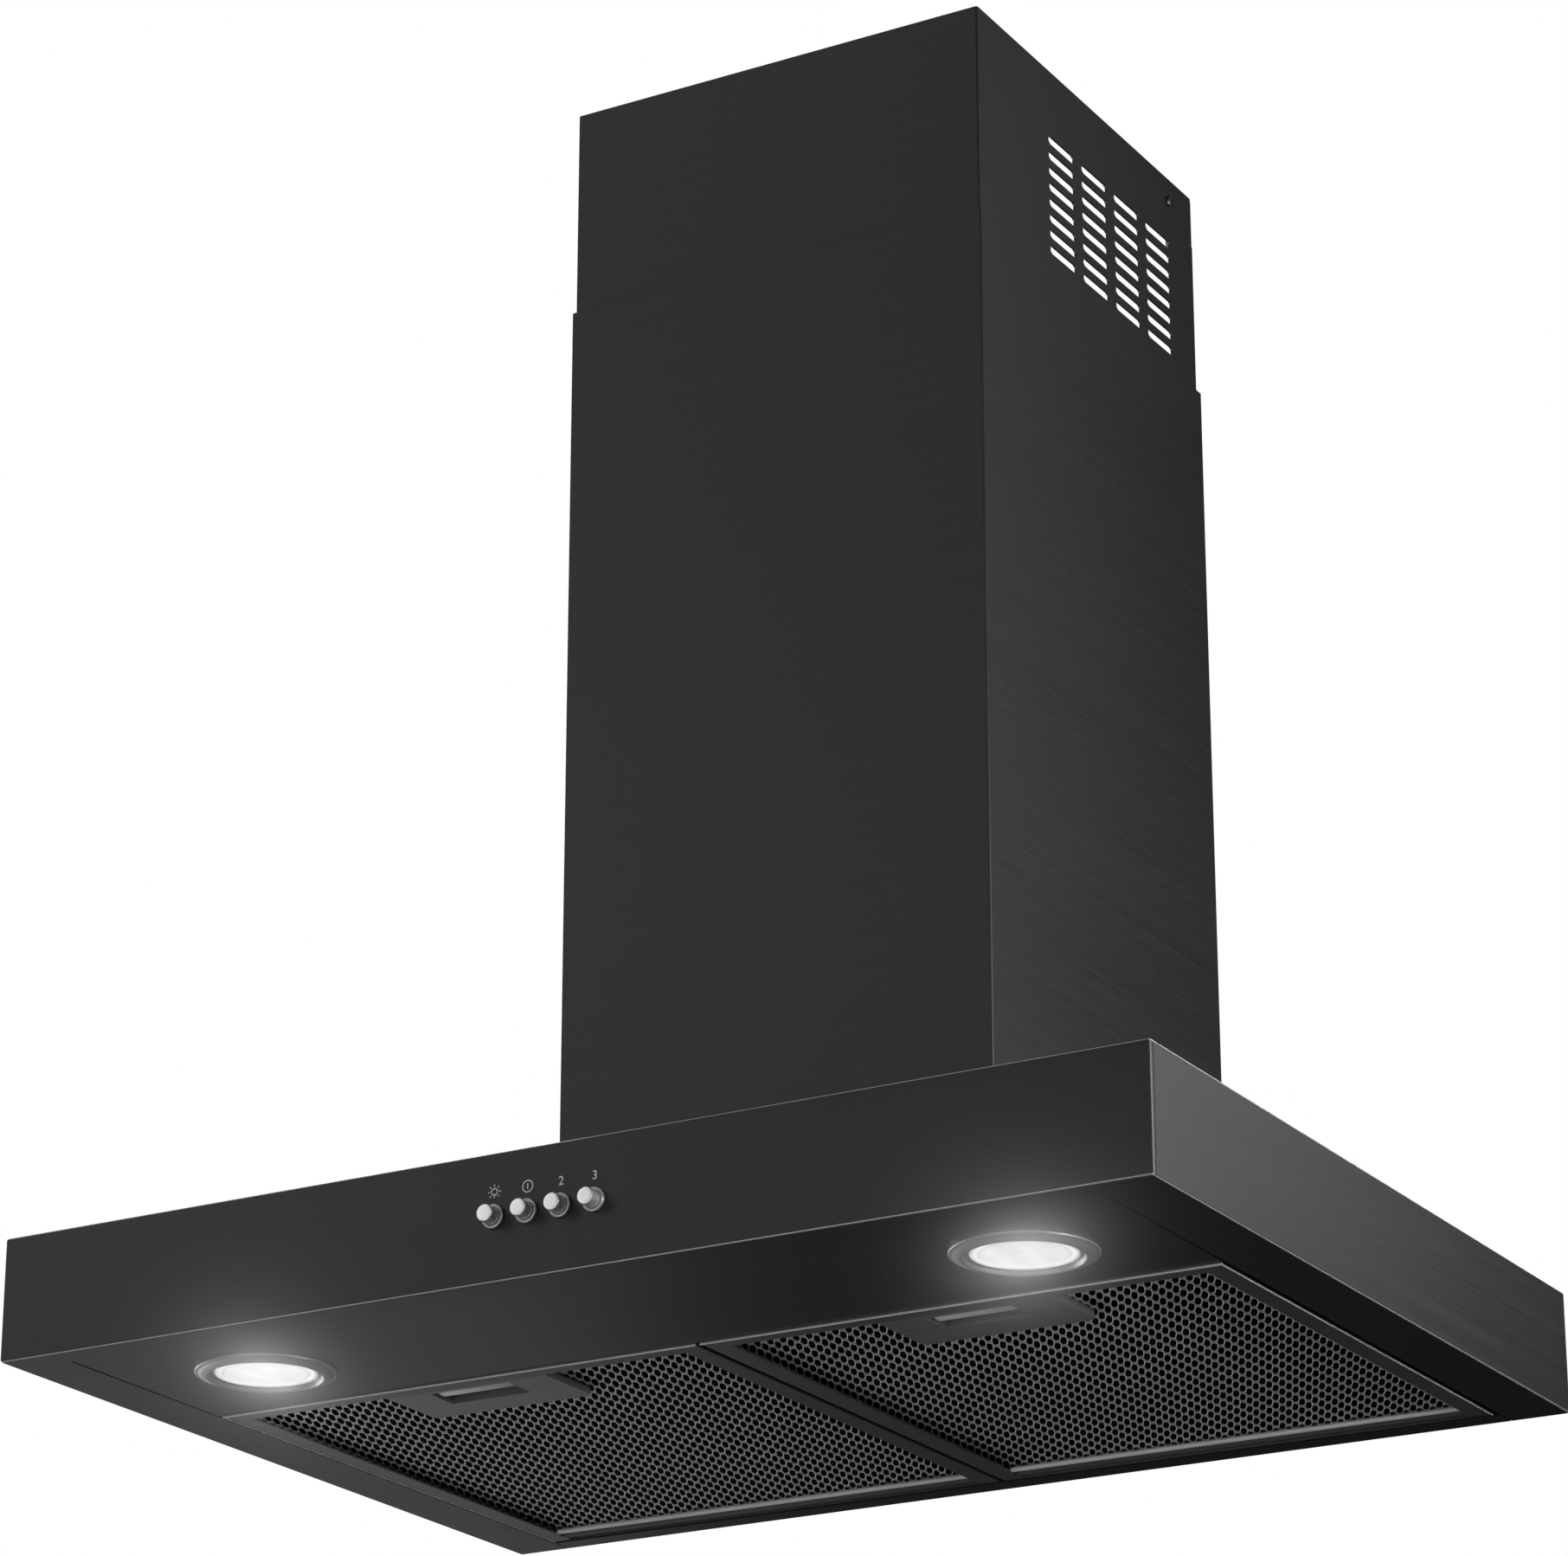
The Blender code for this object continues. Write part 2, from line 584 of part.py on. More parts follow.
def make_lamps():
    """Two round lamps in the light panel: bezel ring, frosted lens and the holder above it."""
    y = FRONT + LAMP_INSET
    neck = LAMP_NECK_RADIUS
    bore = LAMP_LENS_RADIUS + GAP
    face = BOTTOM - GAP
    crown = face - LAMP_BEZEL_DROP
    edge = face - LAMP_BEZEL_EDGE
    wide = LAMP_BEZEL_RADIUS
    bezel = [(bore, BOTTOM + LAMP_NECK_HEIGHT), (neck, BOTTOM + LAMP_NECK_HEIGHT),
             (neck, face), (wide, face), (wide, edge),
             (wide - 0.0022, crown + 0.0004), (wide - 0.0045, crown), (bore + 0.0024, crown + 0.0003),
             (bore + 0.0016, edge - 0.0004), (bore, edge)]
    rim = face - LAMP_BEZEL_EDGE / 2
    lens = [(0.0, rim - LAMP_LENS_CROWN), (LAMP_LENS_RADIUS * 0.5, rim - LAMP_LENS_CROWN * 0.87),
            (LAMP_LENS_RADIUS * 0.85, rim - LAMP_LENS_CROWN * 0.53), (LAMP_LENS_RADIUS, rim),
            (LAMP_LENS_RADIUS, BOTTOM + LAMP_LENS_DEPTH), (0.0, BOTTOM + LAMP_LENS_DEPTH)]
    seat = BOTTOM + LAMP_NECK_HEIGHT + GAP
    waist = neck * LAMP_HOLDER_WAIST
    holder = [(0.0, seat), (neck, seat), (neck, seat + LAMP_HOLDER_HEIGHT * 0.45),
              (waist, seat + LAMP_HOLDER_HEIGHT * 0.55), (waist, seat + LAMP_HOLDER_HEIGHT),
              (0.0, seat + LAMP_HOLDER_HEIGHT)]
    for name, sign in SIDES:
        centre = (sign * LAMP_OFFSET, y)
        smooth(add(f"lamp_bezel_{name}", turned(bezel, "Z", centre, 32), BEZEL_METAL))
        smooth(add(f"lamp_lens_{name}", turned(lens, "Z", centre, 32), LENS_GLASS))
        smooth(add(f"lamp_holder_{name}", turned(holder, "Z", centre, 24), BLACK_PLASTIC))


def make_buttons():
    """Four push buttons in collars, and the switch block behind them."""
    bore = BUTTON_BORE
    neck = COLLAR_NECK_RADIUS
    seat = FRONT - GAP
    crown = seat - COLLAR_PROUD
    neck_end = FRONT + COLLAR_NECK_DEPTH
    collar = [(bore, crown + COLLAR_CHAMFER / 2), (COLLAR_RADIUS - COLLAR_CHAMFER, crown),
              (COLLAR_RADIUS, crown + COLLAR_CHAMFER), (COLLAR_RADIUS, seat), (neck, seat), (neck, neck_end),
              (bore, neck_end)]
    button_end = FRONT + BUTTON_BEHIND
    face = FRONT - BUTTON_PROUD
    button = [(0.0, face), (BUTTON_RADIUS - BUTTON_CHAMFER, face), (BUTTON_RADIUS, face + BUTTON_CHAMFER),
              (BUTTON_RADIUS, button_end), (0.0, button_end)]
    for i in range(BUTTON_COUNT):
        centre = (button_x(i), 0.0)
        smooth(add(f"button_collar_{i + 1}", turned(collar, "Y", centre, 20), COLLAR_METAL))
        item = add(f"push_button_{i + 1}", turned(button, "Y", centre, 20), BUTTON_METAL)
        set_origin(item, (centre[0], face, centre[1]))
        smooth(item)
    half = BUTTON_COUNT * BUTTON_PITCH / 2 + SWITCH_BLOCK_MARGIN
    front = button_end + BUTTON_TRAVEL + 2 * GAP
    ear_width, ear_depth = SWITCH_BLOCK_EAR
    housing = slab((-half, front, -SWITCH_BLOCK_HEIGHT / 2),
                   (half, front + SWITCH_BLOCK_DEPTH, SWITCH_BLOCK_HEIGHT / 2))
    block = add("switch_block", housing, BLACK_PLASTIC)
    for _, sign in SIDES:
        low, high = mirrored((half - GAP, half + ear_width), sign)
        fuse(block, slab((low, FRONT + SHEET + GAP, -SWITCH_BLOCK_HEIGHT / 3),
                         (high, front + ear_depth, SWITCH_BLOCK_HEIGHT / 3)))


def make_blower_box():
    """The sheet box over the canopy's mouth, open below, with a flange and four screws."""
    half = BLOWER_WIDTH / 2
    outer = bevelled_slab((-half, BLOWER_FRONT, BLOWER_BASE), (half, BLOWER_BACK, BLOWER_TOP), EDGE_RADIUS,
                          lambda edge: edge_along(edge, 2), 1)
    body = add("blower_box", outer, GALVANISED)
    fuse(body, slab((-half - BLOWER_FLANGE, BLOWER_FRONT - BLOWER_FLANGE_FRONT, BLOWER_BASE),
                    (half + BLOWER_FLANGE, BLOWER_BACK + BLOWER_FLANGE, BLOWER_BASE + SHEET)))
    cut(body, slab((-half + SHEET, BLOWER_FRONT + SHEET, BLOWER_BASE - REACH),
                   (half - SHEET, BLOWER_BACK - SHEET, BLOWER_TOP - SHEET)))
    throat = SCROLL_WIDTH / 2 - SCROLL_WALL
    cut(body, slab((-throat, FAN_Y + CUTOFF_OFFSET, BLOWER_TOP - REACH),
                   (throat, FAN_Y + SCROLL_END_RADIUS, BLOWER_TOP + REACH)))
    x = half + BLOWER_FLANGE / 2 + SHEET / 2
    rows = (BLOWER_FRONT + BLOWER_SCREW_INSET, BLOWER_BACK - BLOWER_SCREW_INSET)
    places = [(sign * x, y) for _, sign in SIDES for y in rows]
    low, high = BLOWER_BASE - REACH / 4, BLOWER_BASE + REACH / 4
    cut(body, joined(*[rod("Z", place, SCREW_RADIUS + GAP, low, high, SCREW_SIDES) for place in places]))
    for i, place in enumerate(places):
        add_screw(f"blower_screw_{i + 1}", "Z", place, BLOWER_BASE + SHEET + GAP, -1, SHEET + GAP / 2)


def scroll_outline(wall, top):
    """The scroll's outline in (y, z), pushed outwards by wall: cutoff, spiral round the front, back wall."""
    edge = CUTOFF_OFFSET - wall
    start = -asin(edge / (SCROLL_START_RADIUS + wall))
    end = 1.5 * pi
    steps = 36
    points = [(FAN_Y + edge, top)]
    for i in range(steps + 1):
        share = i / steps
        angle = start + (end - start) * share
        radius = SCROLL_START_RADIUS + (SCROLL_END_RADIUS - SCROLL_START_RADIUS) * share + wall
        points.append((FAN_Y - radius * sin(angle), FAN_Z + radius * cos(angle)))
    points.append((FAN_Y + SCROLL_END_RADIUS + wall, top))
    return points


def make_volute():
    """The scroll housing, split down the middle, with a round inlet in each side and the throat on top."""
    top = BLOWER_TOP - SHEET - GAP
    outer = scroll_outline(SCROLL_WALL, top)
    inner = scroll_outline(0.0, top + REACH)
    half = SCROLL_WIDTH / 2
    for name, sign in SIDES:
        body = add(f"volute_{name}", prism(outer, "X", sign * GAP / 2, sign * half), BLACK_PLASTIC)
        cut(body, prism(inner, "X", -sign * REACH, sign * (half - SCROLL_WALL)))
        cut(body, rod("X", (FAN_Y, FAN_Z), INLET_RADIUS, sign * (half - REACH), sign * (half + REACH), 36))
        smooth(body)


def make_motor():
    """The motor in the right inlet, its three-armed bracket, and the shaft that carries the impeller."""
    centre = (FAN_Y, FAN_Z)
    bracket_x = SCROLL_WIDTH / 2 + GAP
    motor_end = bracket_x - GAP
    motor_start = motor_end - MOTOR_LENGTH
    shoulder = motor_start + MOTOR_BOSS_HEIGHT
    motor = [(0.0, motor_start), (MOTOR_BOSS_RADIUS, motor_start), (MOTOR_BOSS_RADIUS, shoulder),
             (MOTOR_RADIUS - MOTOR_CHAMFER, shoulder), (MOTOR_RADIUS, shoulder + MOTOR_CHAMFER),
             (MOTOR_RADIUS, motor_end), (0.0, motor_end)]
    body = add("motor_body", turned(motor, "X", centre, 32), MOTOR_STEEL)
    shaft_end = motor_start + SHAFT_IN_MOTOR
    cut(body, rod("X", centre, SHAFT_RADIUS + GAP, motor_start - REACH, shaft_end + GAP, 16))
    smooth(body)
    ring = INLET_RADIUS + MOTOR_BRACKET_RIM
    outer_x = bracket_x + MOTOR_BRACKET_SHEET
    plate = add("motor_bracket", rod("X", centre, ring, bracket_x, outer_x, RING_SIDES), GALVANISED)
    cut(plate, rod("X", centre, INLET_RADIUS, bracket_x - REACH, bracket_x + REACH, RING_SIDES))
    half_arm = MOTOR_ARM_WIDTH / 2
    reach = FAN_Z + INLET_RADIUS + half_arm
    for i in range(3):
        arm = slab((bracket_x, FAN_Y - half_arm, FAN_Z), (outer_x, FAN_Y + half_arm, reach))
        fuse(plate, rotated(arm, radians(120 * i + 60), "X", (0.0, FAN_Y, FAN_Z)))
    fuse(plate, rod("X", centre, MOTOR_RADIUS * 0.6, bracket_x, outer_x, 24))
    shaft = add("motor_shaft", rod("X", centre, SHAFT_RADIUS, SHAFT_START, shaft_end, 16), SCREW_STEEL)
    set_origin(shaft, (0.0, FAN_Y, FAN_Z))
    smooth(shaft)
    make_impeller(centre, motor_start)


def make_impeller(centre, motor_start):
    """Blades between two end rings, on a disc and a hub."""
    half = IMPELLER_WIDTH / 2
    disc = rod("X", centre, IMPELLER_RADIUS - DISC_SHEET, -DISC_SHEET / 2, DISC_SHEET / 2, RING_SIDES)
    wheel = add("impeller", disc, BLACK_PLASTIC)
    inner = IMPELLER_RADIUS - BLADE_LENGTH
    half_blade = BLADE_SHEET / 2
    blades = []
    for i in range(BLADE_COUNT):
        blade = slab((-half, FAN_Y - half_blade, FAN_Z + inner),
                     (half, FAN_Y + half_blade, FAN_Z + IMPELLER_RADIUS - half_blade))
        lean = rotated(blade, radians(BLADE_LEAN), "X", (0.0, FAN_Y, FAN_Z + inner + BLADE_LENGTH / 2))
        blades.append(rotated(lean, 2 * pi * i / BLADE_COUNT, "X", (0.0, FAN_Y, FAN_Z)))
    fuse(wheel, joined(*blades))
    for start in (-half - half_blade, half + half_blade - DISC_SHEET):
        ring = [(inner - half_blade, start), (IMPELLER_RADIUS, start), (IMPELLER_RADIUS, start + DISC_SHEET),
                (inner - half_blade, start + DISC_SHEET)]
        fuse(wheel, turned(ring, "X", centre, RING_SIDES))
    fuse(wheel, rod("X", centre, HUB_RADIUS, HUB_START, motor_start - SHEET, 24))
    cut(wheel, rod("X", centre, SHAFT_RADIUS + GAP, -REACH, REACH, 16))
    set_origin(wheel, (0.0, FAN_Y, FAN_Z))
    smooth(wheel)


def make_outlet():
    """The round outlet on the blower box, with two half-round flaps on one pin."""
    centre = (0.0, SPIGOT_Y)
    base = BLOWER_TOP + GAP
    bore = SPIGOT_RADIUS - SPIGOT_SHEET
    flange = SPIGOT_RADIUS + SPIGOT_FLANGE
    step = base + SPIGOT_SHEET
    top = base + SPIGOT_HEIGHT
    collar = [(bore, base), (flange, base), (flange, step), (SPIGOT_RADIUS, step), (SPIGOT_RADIUS, top),
              (bore, top)]
    outside = SPIGOT_RADIUS + REACH
    body = add("outlet_spigot", turned(collar, "Z", centre, RING_SIDES), BLACK_PLASTIC)
    cut(body, rod("X", (SPIGOT_Y, FLAP_Z), FLAP_PIN_RADIUS + GAP, -outside, outside, 12))
    smooth(body)
    pin = add("flap_pin", rod("X", (SPIGOT_Y, FLAP_Z), FLAP_PIN_RADIUS, -SPIGOT_RADIUS, SPIGOT_RADIUS, 12),
              SCREW_STEEL)
    smooth(pin)
    edge = FLAP_BARREL_RADIUS + FLAP_EDGE_GAP
    reach = bore - FLAP_RIM_GAP
    low_z, high_z = FLAP_Z - FLAP_SHEET / 2, FLAP_Z + FLAP_SHEET / 2
    for name, sign in (("front", -1), ("rear", 1)):
        start = asin(edge / reach) * 180 / pi
        outline = arc(centre, reach, sign * start, sign * (180 - start), 20)
        flap = add(f"flap_{name}", prism(outline, "Z", low_z, high_z), BLACK_PLASTIC)
        low, high = mirrored((FLAP_BARREL_RADIUS, reach * 0.72), sign)
        near, far = sorted((SPIGOT_Y, SPIGOT_Y + sign * (edge + FLAP_RIM_GAP)))
        fuse(flap, slab((low, near, low_z), (high, far, high_z)))
        fuse(flap, rod("X", (SPIGOT_Y, FLAP_Z), FLAP_BARREL_RADIUS, low, high, 16))
        cut(flap, rod("X", (SPIGOT_Y, FLAP_Z), FLAP_PIN_RADIUS + GAP, low - REACH, high + REACH, 12))
        set_origin(flap, (0.0, SPIGOT_Y, FLAP_Z))


def make_electrics():
    """Terminal box, lid, cable gland and motor capacitor on the back of the blower box."""
    width, depth, height = TERMINAL_BOX_SIZE
    front = BLOWER_BACK + GAP
    back = front + depth
    x, z = TERMINAL_BOX_X, TERMINAL_BOX_Z
    wall = TERMINAL_WALL
    left, right = x - width / 2, x + width / 2
    low, high = z - height / 2, z + height / 2
    box = add("terminal_box", slab((left, front, low), (right, back, high)), GREY_PLASTIC)
    cut(box, slab((left + wall, front + wall, low + wall), (right - wall, back + REACH, high - wall)))
    y = (front + back) / 2
    gland_neck = GLAND_RADIUS - GLAND_STEP
    cut(box, rod("Z", (x, y), gland_neck + GAP, high - 2 * wall, high + REACH, 24))

    def lid_edge(edge):
        return edge.verts[0].co.y > back + 2 * GAP and edge.verts[1].co.y > back + 2 * GAP

    lid = bevelled_slab((left, back + GAP, low), (right, back + GAP + wall, high), wall * 0.4, lid_edge, 1)
    add("terminal_box_lid", lid, GREY_PLASTIC)
    tip = high + GLAND_HEIGHT
    gland = [(GLAND_BORE_RADIUS, high - 2 * wall), (gland_neck, high - 2 * wall), (gland_neck, high + GAP),
             (GLAND_RADIUS, high + GAP), (GLAND_RADIUS, high + GLAND_HEIGHT * 0.5),
             (gland_neck, high + GLAND_HEIGHT * 0.6), (gland_neck, tip), (GLAND_BORE_RADIUS, tip)]
    smooth(add("cable_gland", turned(gland, "Z", (x, y), 24), BLACK_PLASTIC))
    centre = (CAPACITOR_X, front + CAPACITOR_STANDOFF + CAPACITOR_RADIUS)
    base = z - CAPACITOR_HEIGHT / 2
    tip = base + CAPACITOR_HEIGHT
    can = [(0.0, base), (CAPACITOR_RADIUS - SHEET, base), (CAPACITOR_RADIUS, base + SHEET),
           (CAPACITOR_RADIUS, tip - 3 * SHEET), (CAPACITOR_RADIUS * 0.45, tip), (0.0, tip)]
    smooth(add("capacitor", turned(can, "Z", centre, 24), CAPACITOR_WHITE))
    band = CAPACITOR_RADIUS + GAP
    low, high = z - CLIP_HEIGHT / 2, z + CLIP_HEIGHT / 2
    clip = add("capacitor_clip", slab((CAPACITOR_X - band - CLIP_WING, front, low),
                                      (CAPACITOR_X + band + CLIP_WING, front + CLIP_SHEET, high)), GALVANISED)
    fuse(clip, rod("Z", centre, band + CLIP_SHEET, low, high, 24))
    cut(clip, rod("Z", centre, band, z - REACH, z + REACH, 24))


def make_filters():
    """Two grease filters side by side, each with its channel frame, mesh, latch plate and sliding latch."""
    for name, sign in SIDES:
        make_filter(name, sign * FILTER_CENTRE)


def make_filter(name, centre):
    """One filter: its hinge line is low at the rear edge."""
    left, right = centre - FILTER_HALF, centre + FILTER_HALF
    hinge = (centre, FILTER_BACK - HINGE_INSET, FILTER_BOTTOM + HINGE_RISE)
    pocket_back = FILTER_FRONT + FILTER_FRONT_BAND + GAP + LATCH_DEPTH
    window_back = FILTER_BACK - FILTER_REAR_BAND

    def outer_edge(edge):
        return all(vert.co.z < FILTER_BOTTOM + 1e-6 for vert in edge.verts) or edge_along(edge, 2)

    frame = add(f"filter_frame_{name}",
                bevelled_slab((left, FILTER_FRONT, FILTER_BOTTOM), (right, FILTER_BACK, FILTER_TOP),
                              FRAME_EDGE_RADIUS, outer_edge), FILTER_METAL)
    cut(frame, slab((left + SHEET, FILTER_FRONT + SHEET, FILTER_BOTTOM + SHEET),
                    (right - SHEET, FILTER_BACK - SHEET, FILTER_TOP - SHEET)))
    cut(frame, slab((left + FILTER_SIDE_BAND, FILTER_FRONT + FILTER_FRONT_BAND, FILTER_BOTTOM - REACH),
                    (right - FILTER_SIDE_BAND, window_back, FILTER_TOP + REACH)))
    cut(frame, slab((left + FILTER_SIDE_BAND, window_back - SHEET, FILTER_BOTTOM - REACH),
                    (right - FILTER_SIDE_BAND, FILTER_BACK - SHEET, FILTER_BOTTOM + 2 * SHEET)))
    bead = (window_back + FILTER_BEAD_RADIUS + BEAD_FROM_WINDOW, FILTER_BOTTOM + FILTER_BEAD_RADIUS)
    fuse(frame, rod("X", bead, FILTER_BEAD_RADIUS, left + SHEET / 2, right - SHEET / 2, 20))
    tongue_low, tongue_high = FILTER_BOTTOM + TONGUE_LOW, FILTER_BOTTOM + TONGUE_HIGH
    half_tongue = TONGUE_WIDTH / 2
    slot = 2 * GAP
    cut(frame, slab((centre - half_tongue - slot, FILTER_FRONT - REACH, tongue_low - slot),
                    (centre + half_tongue + slot, FILTER_FRONT + FILTER_FRONT_BAND / 2, tongue_high + slot)))
    set_origin(frame, hinge)
    mesh_low = FILTER_BOTTOM + MESH_RECESS
    mesh_back = window_back + BEAD_FROM_WINDOW - 2 * GAP
    mesh = add(f"filter_mesh_{name}",
               slab((left + SHEET + GAP, FILTER_FRONT + SHEET + GAP, mesh_low),
                    (right - SHEET - GAP, mesh_back, mesh_low + MESH_THICKNESS)), MESH_METAL)
    cut(mesh, slab((centre - LATCH_WIDTH / 2 - 2 * GAP, FILTER_FRONT - REACH, mesh_low - REACH),
                   (centre + LATCH_WIDTH / 2 + 2 * GAP, pocket_back + 2 * GAP, mesh_low + REACH)))
    set_origin(mesh, hinge)
    make_latch(name, centre, hinge, pocket_back, (tongue_low, tongue_high))


def make_latch(name, centre, hinge, pocket_back, tongue):
    """The latch plate with its finger recess, and the grip that slides back in it."""
    front = pocket_back - LATCH_DEPTH
    low, high = FILTER_BOTTOM, FILTER_BOTTOM + FILTER_HEIGHT - 2 * GAP

    def rear_corner(edge):
        return edge_along(edge, 2) and edge.verts[0].co.y > pocket_back - GAP

    blank = bevelled_slab((centre - LATCH_WIDTH / 2, front, low), (centre + LATCH_WIDTH / 2, pocket_back, high),
                          LATCH_CORNER, rear_corner, 3)
    plate = add(f"latch_plate_{name}", blank, FILTER_METAL)
    recess_front = front + RECESS_INSET
    recess_back = recess_front + RECESS_DEPTH
    half = RECESS_WIDTH / 2
    ceiling = high - 1.5 * SHEET
    cut(plate, slab((centre - half, recess_front, low - REACH), (centre + half, recess_back, ceiling)))
    play = 2 * GAP
    half_tongue = TONGUE_WIDTH / 2
    cut(plate, slab((centre - half_tongue - play, front - REACH, tongue[0] - play),
                    (centre + half_tongue + play, recess_front + RECESS_INSET / 2, tongue[1] + play)))
    set_origin(plate, hinge)

    grip_front = recess_front + GRIP_FRONT_GAP
    grip_low = low + GRIP_SET_BACK
    grip_half = half - GRIP_SIDE_GAP

    def lower_edge(edge):
        return all(vert.co.z < grip_low + GAP for vert in edge.verts)

    grip = bevelled_slab((centre - grip_half, grip_front, grip_low),
                         (centre + grip_half, grip_front + GRIP_DEPTH, tongue[1]), GRIP_EDGE_RADIUS, lower_edge)
    slider = add(f"latch_slider_{name}", grip, FILTER_METAL)
    fuse(slider, slab((centre - half_tongue, FILTER_FRONT + GAP, tongue[0]),
                      (centre + half_tongue, grip_front + GRIP_DEPTH / 4, tongue[1])))
    set_origin(slider, (centre, grip_front, low))


def main():
    """Clear the scene and model every piece."""
    make_canopy()
    make_rear_panel()
    make_wall_hooks()
    make_lower_chimney()
    make_upper_chimney()
    make_upper_brackets()
    make_lamps()
    make_buttons()
    make_blower_box()
    make_volute()
    make_motor()
    make_outlet()
    make_electrics()
    make_filters()


for leftover in list(bpy.data.objects):
    bpy.data.objects.remove(leftover)
main()
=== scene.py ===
import json
from math import cos, pi, radians, sin

import bmesh
import bpy
from mathutils import Matrix, Vector


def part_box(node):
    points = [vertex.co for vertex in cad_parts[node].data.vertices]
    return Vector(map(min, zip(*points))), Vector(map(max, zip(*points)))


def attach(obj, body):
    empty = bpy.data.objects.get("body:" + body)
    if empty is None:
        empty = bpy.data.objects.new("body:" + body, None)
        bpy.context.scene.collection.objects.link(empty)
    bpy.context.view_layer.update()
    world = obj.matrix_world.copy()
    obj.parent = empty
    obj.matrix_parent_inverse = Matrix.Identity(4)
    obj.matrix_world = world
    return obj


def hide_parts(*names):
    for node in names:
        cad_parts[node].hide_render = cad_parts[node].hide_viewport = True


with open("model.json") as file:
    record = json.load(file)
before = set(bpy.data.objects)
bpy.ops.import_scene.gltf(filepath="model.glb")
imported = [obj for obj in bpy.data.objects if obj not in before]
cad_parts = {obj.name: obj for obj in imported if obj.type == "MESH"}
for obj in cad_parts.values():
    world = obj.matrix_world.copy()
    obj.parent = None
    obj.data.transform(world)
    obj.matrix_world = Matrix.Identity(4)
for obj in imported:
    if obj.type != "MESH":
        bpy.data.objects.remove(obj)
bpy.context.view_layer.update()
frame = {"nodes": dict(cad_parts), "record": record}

NODES = frame["nodes"]
scene = bpy.context.scene
SIDES = ("left", "right")
MM = 0.001
CANOPY_LOW, CANOPY_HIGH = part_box("canopy_shell")
SIGHT_LINE = (-0.46571, 0.80766, 0.36167)  # the way the photo looks at the hood


def box_and_centre(node):
    """The two corners of a node's box, and its centre."""
    low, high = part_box(node)
    return low, high, (low + high) / 2


# Node helpers

def new_material(name, roughness, metallic):
    """A material with its node tree and its Principled shader."""
    material = bpy.data.materials.new(name)
    material.use_nodes = True
    tree = material.node_tree
    shader = tree.nodes["Principled BSDF"]
    shader.inputs["Roughness"].default_value = roughness
    shader.inputs["Metallic"].default_value = metallic
    return material, tree, shader


def add_node(tree, kind, inputs=None, **settings):
    """A node with its settings, and its inputs either linked to a socket or set to a value."""
    item = tree.nodes.new(kind)
    for key, value in settings.items():
        setattr(item, key, value)
    for key, value in (inputs or {}).items():
        if isinstance(value, bpy.types.NodeSocket):
            tree.links.new(value, item.inputs[key])
        else:
            item.inputs[key].default_value = value
    return item


def link(tree, shader, socket, value):
    """Drive one input of the shader."""
    tree.links.new(value, shader.inputs[socket])


def same(value):
    """Three equal numbers: an even scale, or a grey."""
    return (value, value, value)


def calc(tree, operation, a, b=0.0, c=0.0):
    """One sum on two or three values."""
    return add_node(tree, "ShaderNodeMath", {0: a, 1: b, 2: c}, operation=operation).outputs[0]


def vector_calc(tree, operation, a, b=(0.0, 0.0, 0.0), output="Vector"):
    """One sum on vectors."""
    return add_node(tree, "ShaderNodeVectorMath", {0: a, 1: b}, operation=operation).outputs[output]


def mean_of(tree, a, b, share):
    """Two values mixed; share is how much of the first there is."""
    return calc(tree, "ADD", calc(tree, "MULTIPLY", a, share), calc(tree, "MULTIPLY", b, 1.0 - share))


def components(tree, vector):
    """The X, Y and Z sockets of a vector."""
    return add_node(tree, "ShaderNodeSeparateXYZ", {0: vector}).outputs


def coordinates(tree, kind):
    """Texture coordinates of one kind."""
    return add_node(tree, "ShaderNodeTexCoord").outputs[kind]


def map_range(tree, value, from_low, from_high, to_low=0.0, to_high=1.0):
    """A value mapped from one range to another."""
    return add_node(tree, "ShaderNodeMapRange", {"Value": value, "From Min": from_low, "From Max": from_high,
                    "To Min": to_low, "To Max": to_high}).outputs[0]


def spread(tree, value, low=0.0, high=1.0):
    """A value between about 0.3 and 0.7, as noise gives it, mapped to a range."""
    return map_range(tree, value, 0.3, 0.7, low, high)


def stretched(tree, scale):
    """Object coordinates scaled by a different amount along each axis."""
    place = coordinates(tree, "Object")
    return add_node(tree, "ShaderNodeMapping", {"Vector": place, "Scale": scale}).outputs[0]


def noise(tree, scale, detail=2.0, roughness=0.5):
    """Noise in object space; scale is in cycles per metre along X, Y and Z."""
    return add_node(tree, "ShaderNodeTexNoise", {"Vector": stretched(tree, scale), "Scale": 1.0,
                    "Detail": detail, "Roughness": roughness}).outputs["Fac"]


def grain_along_sheet(tree, fine):
    """Brushing lines: level on upright faces, across the hood on flat ones."""
    coarse, roughness, flat_from = 5.0, 0.6, 0.7
    level = noise(tree, (coarse, coarse, fine), roughness=roughness)
    flat = noise(tree, (coarse, fine, coarse), roughness=roughness)
    up = calc(tree, "ABSOLUTE", components(tree, coordinates(tree, "Normal"))[2])
    is_flat = calc(tree, "GREATER_THAN", up, flat_from)
    return add_node(tree, "ShaderNodeMix", {0: is_flat, 2: level, 3: flat}, data_type="FLOAT").outputs[0]


def blend_colors(tree, factor, first, second):
    """Two colours mixed by a factor."""
    item = add_node(tree, "ShaderNodeMix", data_type="RGBA")
    for index, value in ((0, factor), (6, first), (7, second)):
        if isinstance(value, bpy.types.NodeSocket):
            tree.links.new(value, item.inputs[index])
        else:
            item.inputs[index].default_value = (*value, 1.0)
    return item.outputs[2]


def two_tone(tree, shader, pattern, dark, light):
    """A base colour that varies between two tones with a noise pattern."""
    link(tree, shader, "Base Color", blend_colors(tree, spread(tree, pattern), dark, light))


